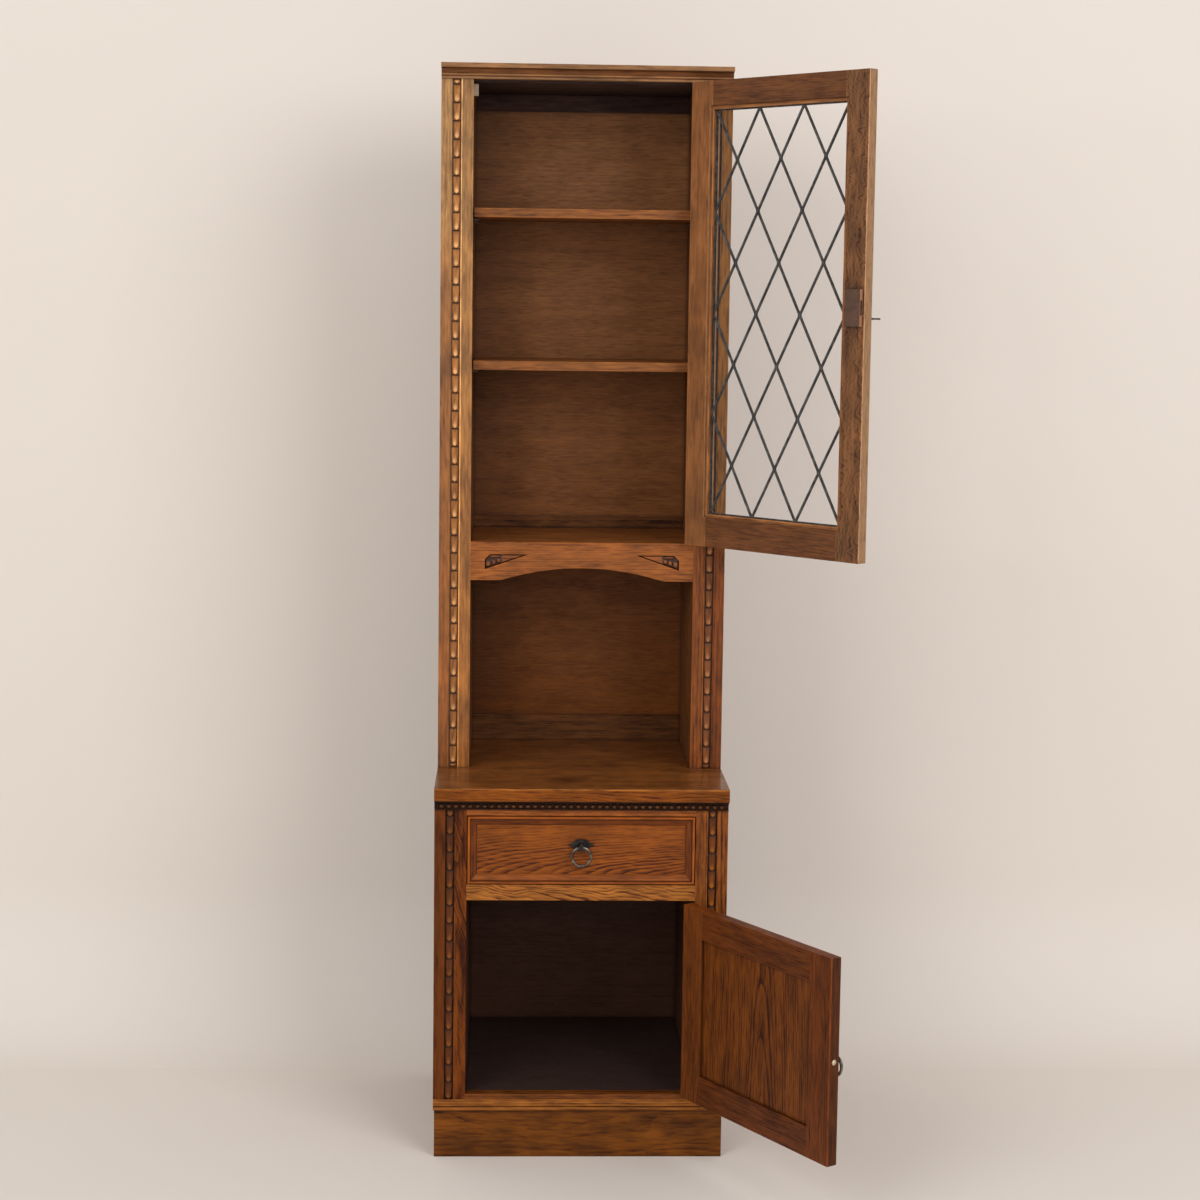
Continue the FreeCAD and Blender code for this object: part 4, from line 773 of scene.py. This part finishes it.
class Build:
    """Gathers points and faces for one mesh piece."""

    def __init__(self):
        self.points = []
        self.faces = []

    def loft(self, sections):
        """Closed rings of points joined in order, with both ends closed."""
        first, count = len(self.points), len(sections[0])
        for ring in sections:
            self.points.extend(ring)
        for row in range(len(sections) - 1):
            low, high = first + row * count, first + (row + 1) * count
            for step in range(count):
                after = (step + 1) % count
                self.faces.append((low + step, low + after, high + after, high + step))
        self.faces.append(tuple(reversed(range(first, first + count))))
        last = len(self.points) - count
        self.faces.append(tuple(range(last, last + count)))

    def dome(self, middle, across, up, out, steps=10, rows=4):
        """Half an ellipsoid: three half axes as vectors, flat at the middle's plane."""
        rings = []
        for row in range(rows + 1):
            lift = math.pi / 2 * row / (rows + 0.35)
            wide, high = math.cos(lift), math.sin(lift)
            ring = []
            for step in range(steps):
                turn = 2 * math.pi * step / steps
                ring.append(middle + wide * (math.cos(turn) * across + math.sin(turn) * up) + high * out)
            rings.append(ring)
        self.loft(rings)

    def piece(self, name, material, body, replaces=None, matrix=None, sharp=40.0):
        """Makes the piece; sharp is the angle between faces from which an edge stays sharp."""
        mesh = bpy.data.meshes.new(name)
        mesh.from_pydata(self.points, [], self.faces)
        if matrix is not None:
            mesh.transform(matrix)
        mesh.validate()
        mesh.shade_smooth()
        mesh.set_sharp_from_angle(angle=math.radians(sharp))
        made = bpy.data.objects.new(name, mesh)
        bpy.context.scene.collection.objects.link(made)
        dress(made, material)
        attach(made, body)
        if replaces:
            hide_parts(replaces)


# Tongues in the channels of the stiles

TONGUE_PITCH = 31.0 * MM
UPPER_FIRST = 8.4 * MM
BASE_FIRST = 13.0 * MM
ROOT_HALF_WIDTH = 6.6 * MM
NOSE_HALF_WIDTH = 5.5 * MM
NOSE_CREST = 3.4 * MM
ROOT_CREST = 0.3 * MM
NOSE_LENGTH = 5.0 * MM
LEAST_TONGUE = 6.0 * MM
LAST_GAP = 0.5 * MM
TONGUE_OUTLINE = ((-1.0, 0.0), (-0.97, 0.45), (-0.82, 0.72), (-0.45, 0.94), (0.0, 1.0),
                  (0.45, 0.94), (0.82, 0.72), (0.97, 0.45), (1.0, 0.0))
BODY_SHARES = (0.0, 0.05, 0.12, 0.25, 0.5, 0.75, 1.0)
NOSE_SHARES = (0.35, 0.62, 0.82, 0.95)


def tongue_section(middle, bed, z, half, crest):
    """One level cut through a tongue: low flanks and a rounded face."""
    return [Vector((middle + half * wide, bed - crest * high, z)) for wide, high in TONGUE_OUTLINE]


def tongue(build, middle, bed, head, foot):
    """A tongue that narrows and rises towards its rounded lower end."""
    length = head - foot
    nose = min(NOSE_LENGTH, 0.5 * length)
    sections = []
    for share in BODY_SHARES:
        z = head - share * (length - nose)
        crest = ROOT_CREST + (NOSE_CREST - ROOT_CREST) * (0.75 * math.sqrt(share) + 0.25 * share)
        half = ROOT_HALF_WIDTH + (NOSE_HALF_WIDTH - ROOT_HALF_WIDTH) * share
        sections.append(tongue_section(middle, bed, z, half, crest))
    for share in NOSE_SHARES:
        half = NOSE_HALF_WIDTH * math.sqrt(1.0 - share ** 2)
        crest = NOSE_CREST * (1.0 - 0.30 * share ** 2)
        sections.append(tongue_section(middle, bed, foot + nose * (1.0 - share), half, crest))
    build.loft(sections)


def carved_tongues():
    upper_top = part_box("display_left_stile")[1].z
    upper_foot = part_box("counter_top")[1].z
    base_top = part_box("pearl_moulding")[0].z
    base_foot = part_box("base_moulding")[1].z
    build = Build()
    for front, top, bottom, first in ((display_front, upper_top, upper_foot, UPPER_FIRST),
                                      (base_front, base_top, base_foot, BASE_FIRST)):
        bed = front + CHANNEL_DEPTH
        for side in SIDES:
            head, foot = top, top - first
            while foot > bottom:
                tongue(build, side * CHANNEL_MIDDLE, bed, head, foot)
                head, foot = foot, foot - TONGUE_PITCH
            if head - bottom > LEAST_TONGUE:
                tongue(build, side * CHANNEL_MIDDLE, bed, head, bottom + LAST_GAP)
    material = tongue_oak(upper_top, upper_foot, base_top)
    build.piece("carved_tongues", material, "carcass", replaces="carved_strips")


def tongue_oak(upper_top, upper_foot, base_top):
    """Light above, dark below: painted sheen at the upper left, painted shade in the hollows and under each
    nose, painted highlights on the noses.
    """
    wood = Oak("carved_strips", "Z", (141, 91, 51), "oak_carved_tongues", lines=0.3, wear=0.0)
    x, y, z = wood.place_parts()
    upper = wood.math("GREATER_THAN", y, (base_front + display_front) / 2)
    right = wood.math("GREATER_THAN", x, 0.0)
    lower = wood.other(upper)
    height_grade = wood.span(z, (upper_top + upper_foot) / 2, upper_top)
    wood.tint(wood.both(right, upper), 0.52, 0.42, 0.40)
    wood.tint(lower, 0.28, 0.175, 0.080)
    wood.tint(wood.both(right, lower), 1.4, 1.4, 0.85)
    # Painted sheen: the upper left tongues lighter towards the top
    wood.tint(wood.both(height_grade, wood.other(right)), 1.2, 1.25, 1.3)

    base_start = base_top - BASE_FIRST
    start = wood.math("MULTIPLY_ADD", upper, upper_top - UPPER_FIRST - base_start, base_start)
    along = wood.math("FRACT", wood.math("DIVIDE", wood.math("SUBTRACT", start, z), TONGUE_PITCH))
    front = wood.math("MULTIPLY_ADD", upper, display_front - base_front, base_front)
    depth = wood.math("SUBTRACT", y, front)
    # Painted shade in the deep parts of the tongues and the channel, stronger below
    upper_hollow_shade, lower_hollow_shade = 0.30, 0.75
    hollow_shade = wood.math("MULTIPLY_ADD", upper, upper_hollow_shade - lower_hollow_shade, lower_hollow_shade)
    wood.stain_and_shade(wood.math("MULTIPLY", hollow_shade, wood.span(depth, 1.6 * MM, CHANNEL_DEPTH)), 1.0)
    # Painted shadow: a dark crescent under each nose
    root = wood.fall(along, 0.04, 0.12)
    wood.stain_and_shade(root, 0.95)
    # Painted highlight on each nose, which is also glossier
    nose = wood.both(wood.span(along, 0.50, 0.95), wood.fall(depth, 0.4 * MM, 1.2 * MM))
    wood.tint(nose, 2.2, 3.0, 4.8)
    return wood.wax(gloss=0.45, shine=0.2, rubbed=nose)


# Pearls under the counter

PEARL_PITCH = 12.2 * MM
PEARL_RADIUS = 4.0 * MM
PEARL_STRETCH = 1.08
PEARL_MIDDLE = 6.0 * MM
# How far behind the moulding's face the pearls' tips, the start of the painted shade and their bed lie
PEARL_TIP = 1.2 * MM
PEARL_SHADE_START = 3.0 * MM
PEARL_BED = 5.8 * MM


def pearls():
    build = Build()
    low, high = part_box("pearl_moulding")
    face, bed = low.y, low.y + PEARL_BED
    across = Vector((PEARL_RADIUS * PEARL_STRETCH, 0, 0))
    up = Vector((0, 0, PEARL_RADIUS))
    out = Vector((0, face + PEARL_TIP - bed, 0))
    count = int((high.x - low.x) / PEARL_PITCH)
    for number in range(count):
        x = (number - (count - 1) / 2) * PEARL_PITCH
        build.dome(Vector((x, bed, low.z + PEARL_MIDDLE)), across, up, out)
    wood = Oak("pearl_moulding", "X", (82, 47, 22), "oak_pearls", lines=0.3)
    # Painted shade on the pearls towards their bed
    wood.stain_and_shade(wood.span(wood.place_parts()[1], face + PEARL_SHADE_START, bed), 0.7)
    build.piece("pearls", wood.wax(gloss=0.36, shine=0.25), "carcass")


# Leaves in the corners of the arched rail

SPANDREL_OUTER = 170.0 * MM
SPANDREL_TIP = 94.0 * MM
SPANDREL_CORNER = 9.0 * MM
SPANDREL_DEPTH = 2.4 * MM
SPANDREL_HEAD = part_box("arch_rail")[1].z - 21.5 * MM
SPANDREL_HEIGHT = 26.5 * MM
TIP_GAP = 1.0 * MM
BED_LIFT = 0.02 * MM
RIM_GAP = 0.7 * MM
RIM_SLOPE = 1.6 * MM
HOLLOW_LENGTH = 31.0 * MM
HOLLOW_SLOPE = 5.0 * MM
# Shares of the full depth
FLAT_LEVEL = 0.94
HOLLOW_LEVEL = 0.14
# How much the squared distance from a lobe's middle, 1 at its rim, grows over the cut round it
LOBE_CUT = 0.5
# Each lobe's place in from the outer end and below the head, half width, half height and lift
LOBES = (
    (6.0 * MM, 16.4 * MM, 4.6 * MM, 6.0 * MM, 0.90),
    (15.6 * MM, 13.6 * MM, 3.9 * MM, 5.0 * MM, 1.0),
    (24.0 * MM, 11.0 * MM, 3.6 * MM, 4.4 * MM, 1.0),
    (18.0 * MM, 3.6 * MM, 11.0 * MM, 2.2 * MM, 0.90),
)


def held(value):
    """A value held between 0 and 1."""
    return min(max(value, 0.0), 1.0)


def spandrel_relief(x, z, head, foot):
    """Height of the carving above its bed: a cut line round it, and four lobes in a hollow outer end."""
    edge = min(head - z, z - foot, SPANDREL_OUTER - x)
    rim = held((edge - RIM_GAP) / RIM_SLOPE)
    hollow = held((x - (SPANDREL_OUTER - HOLLOW_LENGTH)) / HOLLOW_SLOPE)
    level = FLAT_LEVEL + (HOLLOW_LEVEL - FLAT_LEVEL) * hollow
    for inward, below, wide, high, lift in LOBES:
        beside = (x - (SPANDREL_OUTER - inward)) / wide
        above = (z - (SPANDREL_HEAD - below)) / high
        reach = beside ** 2 + above ** 2
        if reach < 1.0:
            level = max(level * reach ** 2, lift * math.sqrt(1.0 - reach))
        elif reach < 1.0 + LOBE_CUT:
            level *= (reach - 1.0) / LOBE_CUT
    return SPANDREL_DEPTH * rim * level


def spandrels():
    build = Build()
    bed = display_front + SPANDREL_DEPTH
    start = SPANDREL_TIP + TIP_GAP
    columns, rows = 64, 18
    for side in SIDES:
        sections = []
        for column in range(columns + 1):
            x = start + (SPANDREL_OUTER - start) * column / columns
            head = SPANDREL_HEAD - max(x - (SPANDREL_OUTER - SPANDREL_CORNER), 0.0)
            foot = SPANDREL_HEAD - SPANDREL_HEIGHT * (x - SPANDREL_TIP) / (SPANDREL_OUTER - SPANDREL_TIP)
            ring = [Vector((side * x, bed, foot)), Vector((side * x, bed, head))]
            for row in range(rows + 1):
                z = head + (foot - head) * row / rows
                ring.append(Vector((side * x, bed - spandrel_relief(x, z, head, foot) - BED_LIFT, z)))
            sections.append(ring if side > 0 else list(reversed(ring)))
        build.loft(sections)
    wood = Oak("arch_rail", "X", (126, 71, 32), "oak_spandrels", heart=(-0.14, 0.06), wander=0.005)
    # Painted shade in the carving's hollows
    sunk = wood.span(wood.place_parts()[1], display_front + 0.12 * SPANDREL_DEPTH,
                     display_front + 0.6 * SPANDREL_DEPTH)
    wood.stain_and_shade(sunk, 0.92)
    build.piece("spandrel_leaves", wood.wax(gloss=0.36, shine=0.35), "carcass", sharp=60.0)


# Ring pulls

# Steps round the ring and round its wire, and the rope's twists
RING_STEPS = 132
WIRE_STEPS = 12
TWISTS = 33
# How far above the ring's middle the rope begins, as a share of the ring's radius
ROPE_REACH = 0.35
# Thickness of the smooth wire and depth of the notches, as shares of the wire's
SMOOTH_WIRE = 0.96
NOTCH = 0.24


def rope_ring(name, node, body, matrix, low, high):
    """A wire ring, smooth above and cut like a rope below; low and high are its box."""
    middle = (low + high) / 2
    wire = (high.y - low.y) / 2
    radius = (high.z - low.z) / 2 - wire
    build = Build()
    for step in range(RING_STEPS):
        turn = 2 * math.pi * step / RING_STEPS
        rope = held(ROPE_REACH - math.cos(turn))
        here, there = step * WIRE_STEPS, (step + 1) % RING_STEPS * WIRE_STEPS
        for part in range(WIRE_STEPS):
            angle = 2 * math.pi * part / WIRE_STEPS
            notch = 0.5 - 0.5 * math.cos(TWISTS * turn + angle)
            thick = wire * (SMOOTH_WIRE + (1.0 - SMOOTH_WIRE) * rope - NOTCH * rope * notch)
            reach = radius + thick * math.cos(angle)
            x, y = middle.x + reach * math.sin(turn), middle.y + thick * math.sin(angle)
            build.points.append(Vector((x, y, middle.z + reach * math.cos(turn))))
            beside = (part + 1) % WIRE_STEPS
            build.faces.append((here + part, here + beside, there + beside, there + part))
    build.piece(name, iron, body, replaces=node, matrix=matrix, sharp=70.0)


PLATE_THICKNESS = 2.2 * MM
FLUTES = 7
FLUTE_ANGLE = math.radians(22.0)
FLUTE_HALF_WIDTH = 1.5 * MM
FLUTE_LIFT = 1.5 * MM
# A flute's reach, and what leaning adds to it, as shares of the plate's height over the pivot
FLUTE_REACH = 0.94
LEANING_REACH = 0.10
# Where a flute's middle lies and half its length, as shares of its reach
FLUTE_MIDDLE = 0.60
FLUTE_HALF_LENGTH = 0.38
STUD_HALF_WIDTH = 5.2 * MM
STUD_HALF_HEIGHT = 2.0 * MM
STUD_INSET = 6.5 * MM
STUD_RISE = 1.2 * MM


def plate_shell(name, body, matrix, low, high, ring_low, ring_high):
    """Raised flutes that fan out over a pull's backplate, and a stud at each tip."""
    build = Build()
    wire = (ring_high.y - ring_low.y) / 2
    face = high.y - PLATE_THICKNESS
    pivot = Vector(((low.x + high.x) / 2, face, ring_high.z - wire))
    out = Vector((0.0, -FLUTE_LIFT, 0.0))
    crown, half = high.z - pivot.z, (high.x - low.x) / 2
    for number in range(FLUTES):
        lean = (number - (FLUTES - 1) / 2) * FLUTE_ANGLE
        ray = Vector((math.sin(lean), 0.0, math.cos(lean)))
        cross = Vector((math.cos(lean), 0.0, -math.sin(lean)))
        reach = crown * (FLUTE_REACH + LEANING_REACH * abs(math.sin(lean)))
        build.dome(pivot + FLUTE_MIDDLE * reach * ray, FLUTE_HALF_WIDTH * cross,
                   FLUTE_HALF_LENGTH * reach * ray, out, steps=8, rows=3)
    for side in SIDES:
        middle = pivot + Vector((side * (half - STUD_INSET), 0.0, STUD_RISE))
        build.dome(middle, Vector((STUD_HALF_WIDTH, 0, 0)), Vector((0, 0, STUD_HALF_HEIGHT)), out, rows=3)
    build.piece(name, black, body, matrix=matrix)


def pulls():
    rope_ring("drawer_rope_ring", "drawer_ring", "drawer_ring_pull", None, *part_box("drawer_ring"))
    plate_shell("drawer_plate_flutes", "drawer", None, *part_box("drawer_pull_plate"), *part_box("drawer_ring"))
    ring = cupboard_door.local_box("cupboard_ring")
    plate = cupboard_door.local_box("cupboard_pull_plate")
    rope_ring("cupboard_rope_ring", "cupboard_ring", "cupboard_ring_pull", cupboard_door.matrix, *ring)
    plate_shell("cupboard_plate_flutes", "cupboard_door", cupboard_door.matrix, *plate, *ring)


# Solder on the leaded light

DIAMOND_COLUMNS = 3
DIAMOND_ROWS = 4
DROP_HALF_WIDTH = 2.9 * MM
DROP_HALF_HEIGHT = 3.4 * MM
DROP_LIFT = 0.45 * MM


def solder_joints():
    """Flat drops of solder where the lead cames cross, on both faces."""
    build = Build()
    low, high = glazed_door.local_box("lead_cames")
    across = (high.x - low.x) / DIAMOND_COLUMNS / 2
    along = (high.z - low.z) / DIAMOND_ROWS / 2
    wide = Vector((DROP_HALF_WIDTH, 0, 0))
    tall = Vector((0, 0, DROP_HALF_HEIGHT))
    for column in range(1, 2 * DIAMOND_COLUMNS):
        for row in range(1, 2 * DIAMOND_ROWS):
            if (column + row) % 2 == 0:
                x, z = low.x + column * across, low.z + row * along
                for face, lift in ((low.y, -DROP_LIFT), (high.y, DROP_LIFT)):
                    build.dome(Vector((x, face, z)), wide, tall, Vector((0, lift, 0)), steps=12, rows=3)
    build.piece("solder_joints", lead, "glazed_door", matrix=glazed_door.matrix)


carved_tongues()
pearls()
spandrels()
pulls()
solder_joints()


# Floor, backdrop, light and camera

def paint(name, one_sided):
    """Pale matt paint, one-sided where the object is to be seen through the back of it."""
    g = Graph(name)
    cloud = g.noise(g.place(), scale=1.3, detail=2.0)
    tint = g.mix(cloud, colour(0.735, 0.685, 0.64), colour(0.765, 0.72, 0.68))
    g.finish(Base_Color=tint, Roughness=0.85)
    if one_sided:
        behind = g.add("ShaderNodeNewGeometry", {}, "Backfacing")
        mixed_surface(g, behind, g.shader.outputs[0], g.add("ShaderNodeBsdfTransparent", {}))
    return g.material


def swept_sheet(name, profile, half, material):
    """A sheet along a profile of y and z, with its face up and to the front; half is half its width."""
    count = len(profile)
    points = [(side * half, y, z) for side in SIDES for y, z in profile]
    faces = [(step, count + step, count + step + 1, step + 1) for step in range(count - 1)]
    mesh = bpy.data.meshes.new(name)
    mesh.from_pydata(points, [], faces)
    mesh.shade_smooth()
    sheet = bpy.data.objects.new(name, mesh)
    bpy.context.scene.collection.objects.link(sheet)
    dress(sheet, material)


def studio():
    """A pale floor, and a backdrop that curves up from it behind the cabinet."""
    half, reach, back, height, sweep = 9.0, 9.0, 0.75, 4.5, 0.30
    steps = 12
    curve = []
    for step in range(steps + 1):
        turn = math.pi / 2 * step / steps
        curve.append((back - sweep + sweep * math.sin(turn), sweep - sweep * math.cos(turn)))
    curve.append((back, height))
    swept_sheet("studio_floor", [(-reach, 0.0), (reach, 0.0)], half, paint("floor_paint", False))
    swept_sheet("studio_backdrop", curve, half, paint("backdrop_paint", True))


def area_light(name, place, aim, size, power, tint):
    data = bpy.data.lights.new(name, "AREA")
    data.shape = "SQUARE"
    data.size = size
    data.energy = power
    data.color = tint
    lamp = bpy.data.objects.new(name, data)
    lamp.location = place
    lamp.rotation_euler = (Vector(aim) - Vector(place)).to_track_quat("-Z", "Y").to_euler()
    bpy.context.scene.collection.objects.link(lamp)


def lighting():
    """A large soft lamp to each side of the camera, and pale light from all round."""
    area_light("left_light", place=(-2.3, -3.2, 2.7), aim=(0.0, 0.1, 1.2), size=2.2, power=59.0,
               tint=(1.0, 0.965, 0.92))
    area_light("right_light", place=(2.2, -3.3, 2.6), aim=(0.0, 0.1, 1.1), size=2.2, power=73.0,
               tint=(1.0, 0.965, 0.94))
    world = bpy.data.worlds.new("studio_air")
    bpy.context.scene.world = world
    world.use_nodes = True
    air = world.node_tree.nodes["Background"]
    air.inputs["Color"].default_value = colour(0.95, 0.93, 0.90)
    air.inputs["Strength"].default_value = 0.68


def camera():
    """Stands where the photograph was taken from; the angles are those of its line of sight."""
    place = Vector((-0.1202, -3.8611, 1.4747))
    yaw, pitch, roll = (math.radians(angle) for angle in (2.161, -6.217, -0.755))
    image, focal_length, sight_row = 1200.0, 2308.7, 550.0
    sensor = 36.0
    ahead = Vector((math.sin(yaw) * math.cos(pitch), math.cos(yaw) * math.cos(pitch), math.sin(pitch)))
    right = Vector((math.cos(yaw), -math.sin(yaw), 0.0))
    down = -right.cross(ahead)
    level_right = right * math.cos(roll) + down * math.sin(roll)
    level_down = down * math.cos(roll) - right * math.sin(roll)
    data = bpy.data.cameras.new("camera")
    data.sensor_width = sensor
    data.lens = focal_length / image * sensor
    data.shift_y = (sight_row - image / 2) / image
    eye = bpy.data.objects.new("camera", data)
    turn = Matrix((level_right, -level_down, -ahead)).transposed()
    eye.matrix_world = Matrix.Translation(place) @ turn.to_4x4()
    bpy.context.scene.collection.objects.link(eye)
    bpy.context.scene.camera = eye


studio()
lighting()
camera()
bpy.context.scene.view_settings.view_transform = "Standard"
